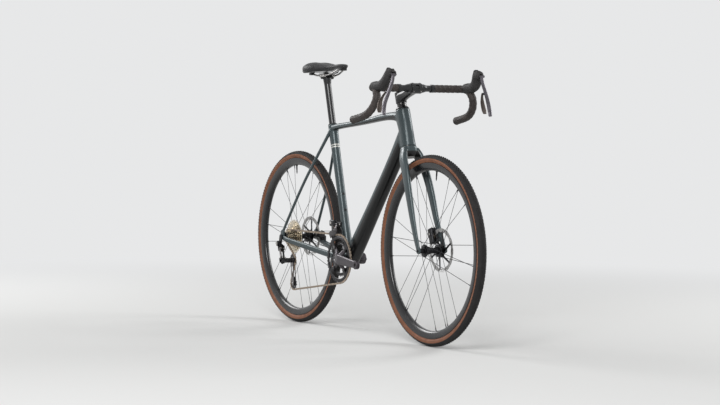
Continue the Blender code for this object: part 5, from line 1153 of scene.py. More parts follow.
def wound(bm, route, radius, pitch, rise, way, count=28):
    """A wound strip along a route; each turn laps over the last, so its edge stands proud."""
    side = UP
    rings = []
    length = 0.0
    for i, place in enumerate(route):
        run = run_at(route, i)
        side = (side - run * side.dot(run)).normalized()
        if i:
            length += (place - route[i - 1]).length
        verts = ring(bm, place, side, run.cross(side), radius, radius, count)
        for k, vert in enumerate(verts):
            turn = (length / pitch - way * k / count) % 1.0
            vert.co = place + (vert.co - place) * (1 + rise / radius * (turn - 1.0))
        rings.append(verts)
    skin(bm, rings)


def bar_and_tape(black, tape, step):
    """The handlebar, its two wound tapes, finishing bands and end plugs."""
    right, left = bar_half(-1), bar_half(1)
    middle = [(y, 0.0159 if abs(y) < 0.031 else BAR_RADIUS + 0.0042 * (0.046 - abs(y)) / 0.015)
              for y in (-0.046, -0.041, -0.036, -0.031, -0.024, 0.024, 0.031, 0.036, 0.041, 0.046)]
    route = list(reversed(right)) + [BAR_CENTRE + LEFT * y for y, _ in middle] + left
    radii = [BAR_RADIUS] * len(right) + [radius for _, radius in middle] + [BAR_RADIUS] * len(left)
    finish("bar_tube", alone(sweep, route, radii, 28), "steering", black, ["handlebar"])
    for side, label, half in ((-1, "right", right), (1, "left", left)):
        finish(f"wound_tape_{label}", alone(wound, half, TAPE_RADIUS, 0.019, step, side), "steering", tape,
               [f"bar_tape_{label}"], sharp=24)
        bm = bmesh.new()
        out = LEFT * side
        lathe(bm, [(0.0119, -0.0005), (0.0148, 0.0), (0.015, 0.001), (0.015, 0.0125), (0.0148, 0.0135),
                   (0.0119, 0.0135)], BAR_CENTRE + out * (TAPE_START - 0.0005), out, 40)
        end = (half[-1] - half[-3]).normalized()
        lathe(bm, [(0, -0.012), (0.01, -0.012), (0.01, 0.0), (0.0148, 0.0), (0.015, 0.0012),
                   (0.0138, 0.0026), (0.0105, 0.0034), (0, 0.0036)], half[-1] - end * 0.0012, end, 40,
              closed=False)
        finish(f"tape_ends_{label}", bm, "steering", black)


HOOD_STATIONS = ((0.036, 0.001, 0.0182, 0.0182), (0.056, 0.002, 0.0182, 0.0195),
                 (0.08, 0.004, 0.0168, 0.0185), (0.103, 0.013, 0.017, 0.019),
                 (0.118, 0.028, 0.0175, 0.019), (0.1275, 0.045, 0.0178, 0.0165),
                 (0.137, 0.053, 0.016, 0.0245), (0.1395, 0.061, 0.011, 0.0175))
LEVER_PIVOT = (0.1535, 0.044)
LEVER_BLADE = ((*LEVER_PIVOT, 0.0068, 0.005), (0.1565, 0.02, 0.0066, 0.004),
               (0.157, -0.02, 0.007, 0.0036), (0.154, -0.055, 0.0078, 0.0036),
               (0.155, -0.08, 0.008, 0.0036), (0.159, -0.0985, 0.0072, 0.0034))
LEVER_BOW = (0, -0.001, 0.005, 0.01, 0.0095, 0.0065)   # each station's place outside the hook's plane
PADDLE_PIVOT = (0.134, -0.0185)
PADDLE_BLADE = ((*PADDLE_PIVOT, 0.004, 0.003), (0.124, -0.034, 0.0056, 0.0022),
                (0.118, -0.052, 0.0085, 0.002), (0.1205, -0.078, 0.01, 0.002),
                (0.1245, -0.09, 0.0075, 0.0018))
PADDLE_BOW = (0.0045, 0.0065, 0.0085, 0.0085, 0.007)


def hook_tube(bm, stations, side, count, squareness=2.4, per_span=6, bows=None):
    """A tapering form along a hook's plane, from (forward, up, half width, half depth) and how far
    each station stands outside that plane."""
    bows = bows or [0.0] * len(stations)
    tube(bm, [(on_hook(forward, up, side, bow), wide, deep)
              for (forward, up, wide, deep), bow in zip(stations, bows)], count, squareness,
         per_span=per_span)


def hood(side, label, surface, inner):
    """A rubber hood with a rounded horn, and the bracket that shows in its mouth."""
    bm = bmesh.new()
    hook_tube(bm, HOOD_STATIONS, side, 32, 2.4)
    last = on_hook(0.14, 0.06, side)
    rod(bm, last - UP * 0.006, last + UP * 0.0045, 0.0105, 24, 0.0075)
    lip = on_hook(0.037, 0.001, side)
    run = (on_hook(0.056, 0.002, side) - lip).normalized()
    lathe(bm, [(0, 0.0), (0.018, 0.0), (0.019, 0.0014), (0.0186, 0.0036), (0, 0.004)],
          lip - run * 0.0008, run, 40, closed=False)
    body = moulded(bm, 0.0015, 6)
    pivot = on_hook(*LEVER_PIVOT, side)
    mouth = alone(rod, pivot - LEFT * 0.0093, pivot + LEFT * 0.0093, 0.0095, 32)
    finish(f"hood_rubber_{label}", cut(body, mouth), "steering", surface, [f"hood_{label}"], sharp=50)
    bm = bmesh.new()
    for way in (-1, 1):
        rod(bm, pivot + LEFT * (way * 0.0093), pivot + LEFT * (way * 0.012), 0.0046, 24)
    rod(bm, pivot - LEFT * 0.0125, pivot + LEFT * 0.0125, 0.0021, 20)
    finish(f"lever_pin_{label}", bm, "steering", inner)


def brake_lever(side, label, surface, dark):
    """A brake lever's blade with the slot near its tip, and its pivot boss."""
    pivot = on_hook(*LEVER_PIVOT, side)
    bm = bmesh.new()
    hook_tube(bm, LEVER_BLADE, side, 28, 2.8, 8, LEVER_BOW)
    before, tip = (on_hook(*LEVER_BLADE[i][:2], side, LEVER_BOW[i]) for i in (-2, -1))
    along = (tip - before).normalized()
    tube(bm, [(tip - along * 0.002, 0.0072, 0.0034), (tip, 0.0072, 0.0034),
              (tip + along * 0.0012, 0.0062, 0.0028), (tip + along * 0.0019, 0.0042, 0.0016)], 28, 2.6)
    pivot_eye(bm, pivot, LEFT, 0.009, 0.0055, 0.0048, 32)
    body = moulded(bm, 0.001, 4)
    across = (LEFT - along * LEFT.dot(along)).normalized()
    slot = alone(plate, [capsule((0.0, -0.007), (0.0, 0.005), 0.0019, 14)], 0.03,
                 before.lerp(tip, 0.15), across, -along)
    finish(f"lever_blade_{label}", cut(body, slot), f"lever_{label}", surface, [f"brake_lever_{label}"],
           sharp=45)
    bm = bmesh.new()
    lathe(bm, [(0, 0.0), (0.004, 0.0), (0.0045, 0.0006), (0.0045, 0.019), (0, 0.019)],
          on_hook(0.137, PADDLE_PIVOT[1], side, PADDLE_BOW[0]), FORWARD, 24, closed=False)
    finish(f"paddle_ear_{label}", bm, f"lever_{label}", dark)


def shift_paddle(side, label, surface):
    """A shift paddle behind its brake lever."""
    bm = bmesh.new()
    hook_tube(bm, PADDLE_BLADE, side, 24, 2.8, 8, PADDLE_BOW)
    pivot = on_hook(*PADDLE_PIVOT, side, PADDLE_BOW[0])
    lathe(bm, [(0, -0.002), (0.003, -0.002), (0.0036, -0.0014), (0.0036, 0.0027), (0, 0.0027)],
          pivot, FORWARD, 24, closed=False)
    low = on_hook(0.1245, -0.09, side, PADDLE_BOW[-1])
    tube(bm, [(low + UP * 0.002, 0.0074, 0.0018), (low, 0.0072, 0.0018),
              (low - UP * 0.0012, 0.0055, 0.0012)], 24, 2.6)
    finish(f"paddle_blade_{label}", moulded(bm, 0.0009, 3), f"paddle_{label}", surface,
           [f"shift_paddle_{label}"], sharp=45)


class BIKE_OT_cockpit(Operator):
    """Stem, handlebar, tape, hoods, brake levers and shift paddles"""

    bl_idname = "bike.cockpit"
    bl_label = "Cockpit"

    def execute(self, context):
        looks = context.scene.cockpit_looks
        black = black_gloss("stem_black")
        bolts = metal("stem_bolt_steel", "steel", (0.3, 0.29, 0.28), 0.28, 1.0)
        headset_and_spacers(black, bolts)
        stem_pieces(black, bolts)
        bar_and_tape(black_gloss("bar_black", weave=False), bar_tape_surface(tuple(looks.tape_colour)),
                     looks.tape_step)
        hood_surface = hood_rubber_surface(tuple(looks.hood_colour))
        lever_surface = metal("lever_metal", "lever_alloy", tuple(looks.lever_colour), 0.3, 0.85, 80.0)
        dark = metal("lever_bracket_metal", "black_alloy", (0.022, 0.022, 0.024), 0.38, 0.8)
        paddle_surface = metal("paddle_metal", "lever_alloy", (0.095, 0.08, 0.072), 0.36, 0.8, 80.0)
        for side, label in ((-1, "right"), (1, "left")):
            hood(side, label, hood_surface, dark)
            brake_lever(side, label, lever_surface, dark)
            shift_paddle(side, label, paddle_surface)
        return {"FINISHED"}


# Brakes

def caliper(name, axle, rotor_y, body, surface, bolts, heads, port):
    """A caliper body with a slot for its rotor, its bolts and its hose port."""
    slot = alone(rod, axle + LEFT * (rotor_y - 0.0049), axle + LEFT * (rotor_y + 0.0049), 0.082, 96)
    rides = "steering" if name == "front" else "frame"
    finish(f"{name}_caliper_body", cut(moulded(body, 0.0011, 5), slot), rides, surface,
           [f"{name}_brake_caliper"], sharp=45)
    bm = bmesh.new()
    for place, out, radius in heads:
        socket_bolt(bm, place, out, radius, 0.003)
    place, out = port
    lathe(bm, [(0, -0.001), (0.0046, -0.001), (0.0046, 0.004), (0.0034, 0.005), (0.0034, 0.01),
               (0.0028, 0.0108), (0, 0.0108)], place, out, 24, closed=False)
    finish(f"{name}_caliper_bolts", bm, rides, bolts)


class BIKE_OT_brakes(Operator):
    """Both calipers with their bolts, and the pads' linings"""

    bl_idname = "bike.brakes"
    bl_label = "Brakes"

    def execute(self, context):
        surface = metal("caliper_metal", "black_alloy", (0.028, 0.028, 0.03), 0.33, 0.75)
        bolts = metal("caliper_bolt_steel", "steel", (0.34, 0.33, 0.32), 0.28, 1.0)
        body = alone(block, on_head(0.008, FRONT_ROTOR_Y, 0.064), (0.026, 0.027, 0.059), HEAD_TILT,
                     0.0045)
        block(body, on_head(0.0215, 0.0525, 0.066), (0.019, 0.0098, 0.054), HEAD_TILT, 0.003)
        rod(body, on_head(0.006, 0.027, 0.07), on_head(0.006, 0.055, 0.07), 0.0128, 32)
        heads = [(on_head(0.006, 0.0268, 0.07), -LEFT, 0.0052),
                 (on_head(0.008, FRONT_ROTOR_Y, 0.0934), HEAD_UP, 0.0036)]
        caliper("front", FRONT_AXLE, FRONT_ROTOR_Y, body, surface, bolts, heads,
                (on_head(-0.001, 0.048, 0.09), HEAD_UP))
        body = alone(block, from_rear(0.076, REAR_ROTOR_Y, 0.356), (0.051, 0.027, 0.0262), None, 0.0045)
        block(body, from_rear(0.078, 0.065, 0.341), (0.044, 0.0126, 0.023), None, 0.003)
        rod(body, from_rear(0.074, 0.0385, 0.357), from_rear(0.074, 0.0655, 0.357), 0.0125, 32)
        heads = [(from_rear(0.074, 0.0383, 0.357), -LEFT, 0.0052),
                 (from_rear(0.094, 0.056, 0.3688), UP, 0.0036)]
        caliper("rear", REAR_AXLE, REAR_ROTOR_Y, body, surface, bolts, heads,
                (from_rear(0.096, 0.048, 0.366), (UP + FORWARD * 1.4).normalized()))
        lining = rubber("pad_lining_grain", "pad_lining", (0.15, 0.12, 0.095), 0.85, 0.5, 2200.0)
        for name in ("front_pad_inner", "front_pad_outer", "rear_pad_inner", "rear_pad_outer"):
            dress(name, lining)
        return {"FINISHED"}


# Cranks, chainrings and bottom bracket

def sprocket(teeth, phase, crest=0.0016, root=0.0037):
    """A sprocket's outline: a round seat under each roller and a narrow tooth between two."""
    pitch = pitch_radius(teeth)
    shape = ((0.0, -root), (0.15, -root * 0.92), (0.27, -root * 0.45), (0.36, crest * 0.2), (0.44, crest),
             (0.56, crest), (0.64, crest * 0.2), (0.73, -root * 0.45), (0.85, -root * 0.92))
    return [round_point(pitch + rise, math.radians(phase + 360 * (i + share) / teeth))
            for i in range(teeth) for share, rise in shape]


def crank_arm(side, surface, bolts):
    """One arm; the right one has the four-armed spider."""
    along = in_side_view(CRANK_DROP if side < 0 else 180.0 + CRANK_DROP)
    bm = bmesh.new()
    tube(bm, [(CRANK_AXIS + along * out + LEFT * (side * y), wide, deep) for out, y, wide, deep in
              ((-0.004, 0.057, 0.007, 0.02), (0.045, 0.0595, 0.0069, 0.019),
               (0.11, 0.064, 0.0065, 0.0158), (CRANK_LENGTH, 0.0679, 0.0063, 0.014))], 32, 3.0, per_span=8)
    lathe(bm, [(0, side * 0.035), (0.0205, side * 0.035), (0.0218, side * 0.0362), (0.0218, side * 0.062),
               (0.0206, side * 0.0636), (0.0, side * 0.064)], CRANK_AXIS, LEFT, 56, closed=False)
    eye = CRANK_AXIS + along * CRANK_LENGTH
    lathe(bm, [(0, side * 0.0604), (0.0156, side * 0.0604), (0.0166, side * 0.0614),
               (0.0166, side * 0.0738), (0.0158, side * 0.0745), (0, side * 0.0745)], eye, LEFT, 48,
          closed=False)
    if side < 0:
        for k in range(4):
            out = in_side_view(SPIDER_TURN + 90 * k)
            lean = 0.3 if k in (0, 3) else 0.0
            foot = CRANK_AXIS + (out + along * lean).normalized() * 0.01
            tube(bm, [(foot - LEFT * 0.051, 0.0058, 0.015),
                      (CRANK_AXIS + out * 0.03 - LEFT * 0.048, 0.0048, 0.011),
                      (CRANK_AXIS + out * 0.044 - LEFT * 0.0447, 0.003, 0.0088),
                      (CRANK_AXIS + out * 0.0575 - LEFT * 0.04325, 0.0024, 0.008)], 28, 2.8, per_span=6)
    body = moulded(bm, 0.0013, 5)
    hole = alone(rod, eye + LEFT * (side * 0.05), eye + LEFT * (side * 0.09), 0.0072, 32)
    face = CRANK_AXIS + LEFT * (side * 0.0618)
    recess = alone(rod, face, CRANK_AXIS + LEFT * (side * 0.07), 0.015, 48)
    label = "right" if side < 0 else "left"
    finish(f"crank_{label}", cut(body, hole, recess), "crankset", surface, [f"crank_arm_{label}"], sharp=45)

    bm = bmesh.new()
    out = LEFT * side
    lathe(bm, [(0, -0.0008), (0.0147, -0.0008), (0.0147, 0.001), (0.0138, 0.0016), (0.01, 0.0016),
               (0.0092, 0.0004), (0, 0.0002)], face, out, 48, closed=False)
    if side > 0:
        for way in (-1, 1):
            socket_bolt(bm, CRANK_AXIS - along * 0.0212 + LEFT * (0.057 + way * 0.0045), -along, 0.003,
                        0.0016)
    lathe(bm, [(0.0072, -0.013), (0.0078, -0.013), (0.0078, 0.0002), (0.0072, 0.0002)],
          eye + LEFT * (side * 0.0745), out, 40)
    finish(f"crank_cap_{label}", bm, "crankset", bolts)


def chainring(name, teeth, ring_y, phase, surface, body_inner, tabs):
    """A toothed ring with a thicker machined body and four tabs for its bolts."""
    centre = CRANK_AXIS + LEFT * ring_y
    root = pitch_radius(teeth) - 0.0037
    bm = bmesh.new()
    plate(bm, [sprocket(teeth, phase), round_hole((0, 0), root - 0.006, 120)], 0.0019, centre)
    outer = root - 0.0034
    lathe(bm, [(body_inner, -0.0011), (body_inner + 0.0012, -0.0019), (outer - 0.0016, -0.0019),
               (outer, -0.0009), (outer, 0.0009), (outer - 0.0016, 0.0019), (body_inner + 0.0012, 0.0019),
               (body_inner, 0.0011)], centre, LEFT, 160)
    for k in range(4):
        angle = math.radians(SPIDER_TURN + 90 * k)
        tab = capsule(round_point(tabs, angle), round_point(body_inner + 0.002, angle), 0.0072, 24, 0.0105)
        plate(bm, [tab], 0.003, centre, bevel=0.0004)
    finish(name, bm, "crankset", surface, [name.replace("toothed_", "")], sharp=32)


def ring_bolts(surface):
    """Chainring bolts with hexagonal sockets, and the pin that stops a dropped chain."""
    bm = bmesh.new()
    for k in range(4):
        place = CRANK_AXIS + in_side_view(SPIDER_TURN + 90 * k) * RING_BOLT_RADIUS
        socket_bolt(bm, place + LEFT * (RING_Y - 0.001), -LEFT, 0.0058, 0.002)
        rod(bm, place + LEFT * RING_Y, place - LEFT * 0.038, 0.0046, 24)
    stop = CRANK_AXIS + in_side_view(CRANK_DROP) * 0.084
    rod(bm, stop + LEFT * RING_Y, stop - LEFT * 0.053, 0.002, 16)
    finish("chainring_bolts", bm, "crankset", surface)


class BIKE_OT_crankset(Operator):
    """Cranks, chainrings, their bolts and the bottom bracket"""

    bl_idname = "bike.crankset"
    bl_label = "Crankset"

    def execute(self, context):
        looks = context.scene.drivetrain_looks
        grey = metal("crank_metal", "grey_alloy", tuple(looks.crank_colour), 0.34, 0.75, 45.0)
        dark = metal("ring_metal", "black_alloy", (0.024, 0.023, 0.025), 0.34, 0.85, 90.0)
        ring_grey = metal("outer_ring_metal", "grey_alloy", (0.03, 0.029, 0.031), 0.34, 0.85, 90.0)
        bolts = metal("crank_bolt_steel", "steel", (0.16, 0.155, 0.16), 0.28, 1.0)
        crank_arm(-1, grey, bolts)
        crank_arm(1, grey, bolts)
        chainring("toothed_chainring_outer", RING_TEETH[0], RING_Y, phase_of(chain_pins(), CRANK_AXIS),
                  ring_grey, 0.0762, 0.056)
        chainring("toothed_chainring_inner", RING_TEETH[1], -0.0395, 3.0, dark, 0.0536, 0.052)
        ring_bolts(bolts)
        bm = bmesh.new()
        for side in (-1, 1):
            cup = polar(96, lambda a: 0.0218 if (a % 22.5) < 13 else 0.0208)
            plate(bm, [cup, round_hole((0, 0), 0.015, 40)], 0.0084, CRANK_AXIS + LEFT * (side * 0.04),
                  bevel=0.0005)
            lathe(bm, [(0.015, side * 0.0343), (0.0228, side * 0.0343), (0.0232, side * 0.035),
                       (0.0228, side * 0.0362), (0.015, side * 0.0362)], CRANK_AXIS, LEFT, 64)
        finish("bottom_bracket_cups", bm, "frame", dark, ["bottom_bracket"], sharp=32)
        return {"FINISHED"}


# Cassette and chain

def tangent(first, second):
    """The straight run from one circle to the next: each is (centre x, z, radius, turn)."""
    ax, az, ar, at = first
    bx, bz, br, bt = second
    span = math.hypot(bx - ax, bz - az)
    heading = math.atan2(bz - az, bx - ax)
    normal = heading + math.asin((ar * at - br * bt) / span) - math.pi / 2
    return round_point(ar * at, normal, (ax, az)), round_point(br * bt, normal, (bx, bz))


def chain_pins():
    """The chain's pins at even steps round its closed run."""
    wheels = ((CRANK_AXIS, RING_TEETH[0], 1, RING_Y), (REAR_AXLE, COG_TEETH[CHAIN_COG], 1, CHAIN_Y),
              (GUIDE_PULLEY, PULLEY_TEETH, -1, CHAIN_Y), (TENSION_PULLEY, PULLEY_TEETH, 1, CHAIN_Y))
    circles = [(place.x, place.z, pitch_radius(teeth), turn) for place, teeth, turn, _ in wheels]
    runs = [tangent(circles[i], circles[(i + 1) % 4]) for i in range(4)]
    route = []
    for i, (x, z, radius, turn) in enumerate(circles):
        arrive, leave = runs[i - 1][1], runs[i][0]
        begin = math.atan2(arrive[1] - z, arrive[0] - x)
        end = math.atan2(leave[1] - z, leave[0] - x)
        span = ((end - begin) * turn) % (2 * math.pi) * turn
        for k in range(49):
            along, up = round_point(radius, begin + span * k / 48, (x, z))
            route.append(Vector((along, wheels[i][3], up)))
    route.append(route[0])
    length = sum((b - a).length for a, b in zip(route, route[1:]))
    links = 2 * round(length / (2 * CHAIN_PITCH))
    return evenly(route, length / links)[:-1]


def phase_of(pins, centre):
    """The angle of a pin on a sprocket's circle, from the pin farthest round its wrap."""
    near = min(pins, key=lambda pin: (pin - centre).length - 0.001 * pin.dot(FORWARD))
    return math.degrees(math.atan2(near.z - centre.z, near.x - centre.x))


def link_side(bm, length, half_height, waist, thick, y):
    """One waisted side plate from pin to pin along X."""
    verts = bmesh.ops.create_circle(bm, cap_ends=True, segments=22, radius=1.0)["verts"]
    for vert in verts:
        x, z = vert.co.x, vert.co.y
        pinch = waist * math.exp(-(x / 0.42) ** 2)
        vert.co = Vector((length / 2 + x * (length / 2 + half_height), y - thick / 2,
                          math.copysign(min(1.0, abs(z) * 1.35) ** 0.8, z) * half_height * (1 - pinch)))
    face = verts[0].link_faces[0]
    made = bmesh.ops.extrude_face_region(bm, geom=[face])["geom"]
    bmesh.ops.translate(bm, vec=(0, thick, 0), verts=[item for item in made
                                                     if isinstance(item, bmesh.types.BMVert)])


def link_mesh(outer, length):
    """A chain link: two side plates, and the pins or the rollers at its ends."""
    bm = bmesh.new()
    reach = 0.00205 if outer else 0.00125
    for way in (-1, 1):
        link_side(bm, length, 0.0039 if outer else 0.0037, 0.3, 0.0008, way * reach)
    for x in (0.0, length):
        half = 0.00275 if outer else 0.0009
        rod(bm, Vector((x, -half, 0)), Vector((x, half, 0)), 0.0016 if outer else 0.00375, 12)
    mesh = bpy.data.meshes.new("link")
    bmesh.ops.recalc_face_normals(bm, faces=bm.faces)
    bm.to_mesh(mesh)
    bm.free()
    return mesh


class BIKE_OT_chain(Operator):
    """The chain, link by link, along its run"""

    bl_idname = "bike.chain"
    bl_label = "Chain"

    def execute(self, context):
        pins = chain_pins()
        length = (pins[1] - pins[0]).length
        meshes = [link_mesh(False, length), link_mesh(True, length)]
        bm = bmesh.new()
        for i, pin in enumerate(pins):
            run = (pins[(i + 1) % len(pins)] - pin).normalized()
            side = (LEFT - run * LEFT.dot(run)).normalized()
            turn = Matrix((run, side, run.cross(side))).transposed().to_4x4()
            stamp(bm, meshes[i % 2], Matrix.Translation(pin) @ turn)
        for mesh in meshes:
            bpy.data.meshes.remove(mesh)
        colour = tuple(context.scene.drivetrain_looks.chain_colour)
        steel = metal("chain_link_steel", "chain_steel", colour, 0.28, 1.0, 400.0)
        finish("chain_links", bm, "frame", steel, ["chain"], sharp=30)
        return {"FINISHED"}


class BIKE_OT_cassette(Operator):
    """Twelve toothed cogs, their spacers and the lockring"""

    bl_idname = "bike.cassette"
    bl_label = "Cassette"

    def execute(self, context):
        phase = phase_of(chain_pins(), REAR_AXLE)
        colour = tuple(context.scene.drivetrain_looks.cog_colour)
        gold = metal("cog_steel", "gold_steel", colour, 0.25, 1.0, 160.0)
        dark = metal("cog_spacer_metal", "black_alloy", (0.018, 0.018, 0.019), 0.45, 0.7)
        bm = bmesh.new()
        for i, teeth in enumerate(COG_TEETH):
            inner = max(0.0176, pitch_radius(COG_TEETH[max(0, i - 1)]) - 0.0125)
            holes = [round_hole((0, 0), inner, 64)]
            if teeth > 20:
                middle = (inner + pitch_radius(teeth) - 0.0045) / 2
                holes += [round_hole(spot, 0.0017, 10) for spot in round_hole((0, 0), middle, teeth // 2)]
            plate(bm, [sprocket(teeth, phase + 7.0 * (i - CHAIN_COG), 0.0013), *holes], 0.0014,
                  REAR_AXLE + LEFT * (FIRST_COG_Y + COG_SPACING * i))
        finish("cassette_cogs", bm, "cassette_body", gold, ["cassette"], sharp=30)
        bm = bmesh.new()
        for i, teeth in enumerate(COG_TEETH[:-1]):
            middle = FIRST_COG_Y + COG_SPACING * (i + 0.5)
            low, high = middle - 0.00115, middle + 0.00115
            reach = max(0.0186, pitch_radius(teeth) - 0.012)
            lathe(bm, [(0.0165, low), (reach, low), (reach, high), (0.0165, high)], REAR_AXLE, LEFT, 56)
        lathe(bm, [(0.0063, -0.0707), (0.0088, -0.0707), (0.009, -0.0697), (0.009, -0.0672),
                   (0.015, -0.0672), (0.017, -0.0662), (0.017, -0.022), (0.0063, -0.022)],
              REAR_AXLE, LEFT, 56)
        plate(bm, [polar(96, lambda a: 0.0168 if (a % 30) < 17 else 0.0158),
                   polar(96, lambda a: 0.0112 if (a % 30) < 15 else 0.0122)], 0.003,
              REAR_AXLE - LEFT * 0.0652, bevel=0.0004)
        finish("cassette_spacers", bm, "cassette_body", dark, sharp=32)
        return {"FINISHED"}


# Derailleurs

LINK_SWING = Vector((0, math.cos(math.radians(15)), -math.sin(math.radians(15))))
LINK_AXIS = Vector(JOINTS["derailleur_outer_link_swing"]["axis"])
OUTER_HEAD = joint_place("derailleur_outer_link_swing")
INNER_HEAD = joint_place("derailleur_inner_link_swing")
OUTER_FOOT = joint_place("derailleur_knuckle_swing")
INNER_FOOT = OUTER_FOOT + (INNER_HEAD - OUTER_HEAD)
LINK_RUN = (OUTER_FOOT - OUTER_HEAD).normalized()


def cheek_forms(bm, outer, inner, toward):
    """Two cheeks over the ends of the links, and the post that joins them."""
    middle = (outer + inner) / 2
    post = middle + toward * 0.016
    half = LINK_AXIS * 0.0083
    rod(bm, post - half, post + half, 0.0067, 24)
    turn = Matrix((toward, LINK_SWING, toward.cross(LINK_SWING))).transposed().to_4x4()
    for way in (-1, 1):
        centre = middle + toward * 0.0065 + LINK_AXIS * (way * 0.0074)
        block(bm, centre, (0.0228, 0.0233, 0.0021), turn, 0.0009, 2)
    return post


def pin_heads(bm, ends):
    """The heads of the links' pins on both faces of the cheeks."""
    for end in ends:
        for way in (1, -1):
            lathe(bm, [(0, 0.0), (0.0034, 0.0), (0.0034, 0.0008), (0.0026, 0.0014), (0, 0.0014)],
                  end + LINK_AXIS * (0.0084 * way), LINK_AXIS * way, 24, closed=False)


def derailleur_link(name, body, head, foot, surface, node, wide):
    """A link's bar with a round eye at each end."""
    bm = bmesh.new()
    for end in (head, foot):
        pivot_eye(bm, end, LINK_AXIS, 0.006, 0.005, 0.0044, 28)
    tube(bm, [(head, 0.0028, wide), (head.lerp(foot, 0.5), 0.0025, wide * 0.86), (foot, 0.0028, wide)], 24,
         3.4, LINK_SWING)
    finish(name, moulded(bm, 0.0008, 3), body, surface, [node], sharp=42)


def pulley(node, centre, phase, surface):
    """A toothed pulley wheel with its holes and hub."""
    bm = bmesh.new()
    holes = [round_hole(spot, 0.003, 14) for spot in round_hole((0, 0), 0.0125, 6)]
    teeth = sprocket(PULLEY_TEETH, phase, 0.0012, 0.0039)
    plate(bm, [teeth, round_hole((0, 0), 0.0034, 20), *holes], 0.0021, centre)
    lathe(bm, [(0.0034, -0.0022), (0.0068, -0.0022), (0.0072, -0.0016), (0.0072, 0.0016), (0.0068, 0.0022),
               (0.0034, 0.0022)], centre, LEFT, 32)
    finish(f"{node}_wheel", bm, f"{node}_body", surface, [node], sharp=32)


def rear_derailleur(black, grey, bolts):
    """Hanger, knuckles, links, cage and pulleys."""
    bolt = REAR_AXLE + Vector((-0.006, -0.0852, -0.027))
    bm = bmesh.new()
    post = cheek_forms(bm, OUTER_HEAD, INNER_HEAD, -LINK_RUN)
    tube(bm, [(bolt - LEFT * 0.0065, 0.0062, 0.0092), (post, 0.0062, 0.0077)], 24, side=LEFT)
    lathe(bm, [(0, 0.0), (0.0106, 0.0), (0.0106, 0.0118), (0.0094, 0.013), (0, 0.013)], bolt, -LEFT, 40,
          closed=False)
    finish("b_knuckle_body", moulded(bm, 0.0009, 4), "frame", black, ["derailleur_b_knuckle"], sharp=42)
    bm = bmesh.new()
    socket_bolt(bm, bolt - LEFT * 0.0128, -LEFT, 0.007, 0.0022)
    pin_heads(bm, (OUTER_HEAD, INNER_HEAD))
    finish("b_knuckle_bolts", bm, "frame", bolts)

    derailleur_link("outer_link_plate", "rd_link_outer", OUTER_HEAD, OUTER_FOOT, grey,
                    "derailleur_link_outer", 0.0057)
    derailleur_link("inner_link_plate", "rd_link_inner", INNER_HEAD, INNER_FOOT, black,
                    "derailleur_link_inner", 0.0055)

    start = GUIDE_PULLEY - LEFT * 0.0055
    end = Vector((GUIDE_PULLEY.x, -0.079, GUIDE_PULLEY.z))
    bm = bmesh.new()
    post = cheek_forms(bm, OUTER_FOOT, INNER_FOOT, LINK_RUN)
    rod(bm, start, end, 0.0096, 40)
    tube(bm, [(post + LINK_RUN * 0.0015, 0.0052, 0.0052),
              (end + Vector((0.003, 0.006, -0.0025)), 0.0052, 0.0057)], 24, side=UP)
    finish("p_knuckle_body", moulded(bm, 0.0009, 4), "rd_p_knuckle", black, ["derailleur_p_knuckle"],
           sharp=42)
    bm = bmesh.new()
    socket_bolt(bm, end, -LEFT, 0.0062, 0.0018)
    pin_heads(bm, (OUTER_FOOT, INNER_FOOT))
    finish("p_knuckle_bolts", bm, "rd_p_knuckle", bolts)

    reach = TENSION_PULLEY - GUIDE_PULLEY
    low = (reach.x, reach.z)
    bm = bmesh.new()
    outline = capsule((0.0, 0.0), low, 0.0108, 32, 0.0098)
    window = capsule((low[0] * 0.3, low[1] * 0.3), (low[0] * 0.68, low[1] * 0.68), 0.0048, 20)
    for way in (-1, 1):
        plate(bm, [outline, window], 0.0014, GUIDE_PULLEY + LEFT * (way * 0.0045), bevel=0.0003)
    for centre in (GUIDE_PULLEY, TENSION_PULLEY):
        rod(bm, centre - LEFT * 0.0048, centre + LEFT * 0.0048, 0.003, 20)
    rod(bm, GUIDE_PULLEY - LEFT * 0.0045, GUIDE_PULLEY - LEFT * 0.019, 0.005, 28)
    finish("cage_plates", bm, "rd_cage", grey, ["derailleur_cage"], sharp=35)
    bolts_piece("cage_bolts", "rd_cage", bolts, (TENSION_PULLEY - LEFT * 0.0052, -LEFT, 0.0046, 0.0022),
                (TENSION_PULLEY + LEFT * 0.0052, LEFT, 0.0046, 0.0016),
                (GUIDE_PULLEY + LEFT * 0.0052, LEFT, 0.0046, 0.0016))
    pins = chain_pins()
    for node, centre in (("guide_pulley", GUIDE_PULLEY), ("tension_pulley", TENSION_PULLEY)):
        pulley(node, centre, phase_of(pins, centre), black)


def arc_plate(inner, front, rear, first, last, steps=20):
    """An outline between an arc about the crank axis and a longer reach above it, in degrees."""
    low, high = [], []
    for i in range(steps + 1):
        share = i / steps
        angle = math.radians(first + (last - first) * share)
        reach = front + (rear - front) * share
        low.append(round_point(inner, angle))
        high.append(round_point(reach, angle))
    return low + list(reversed(high))


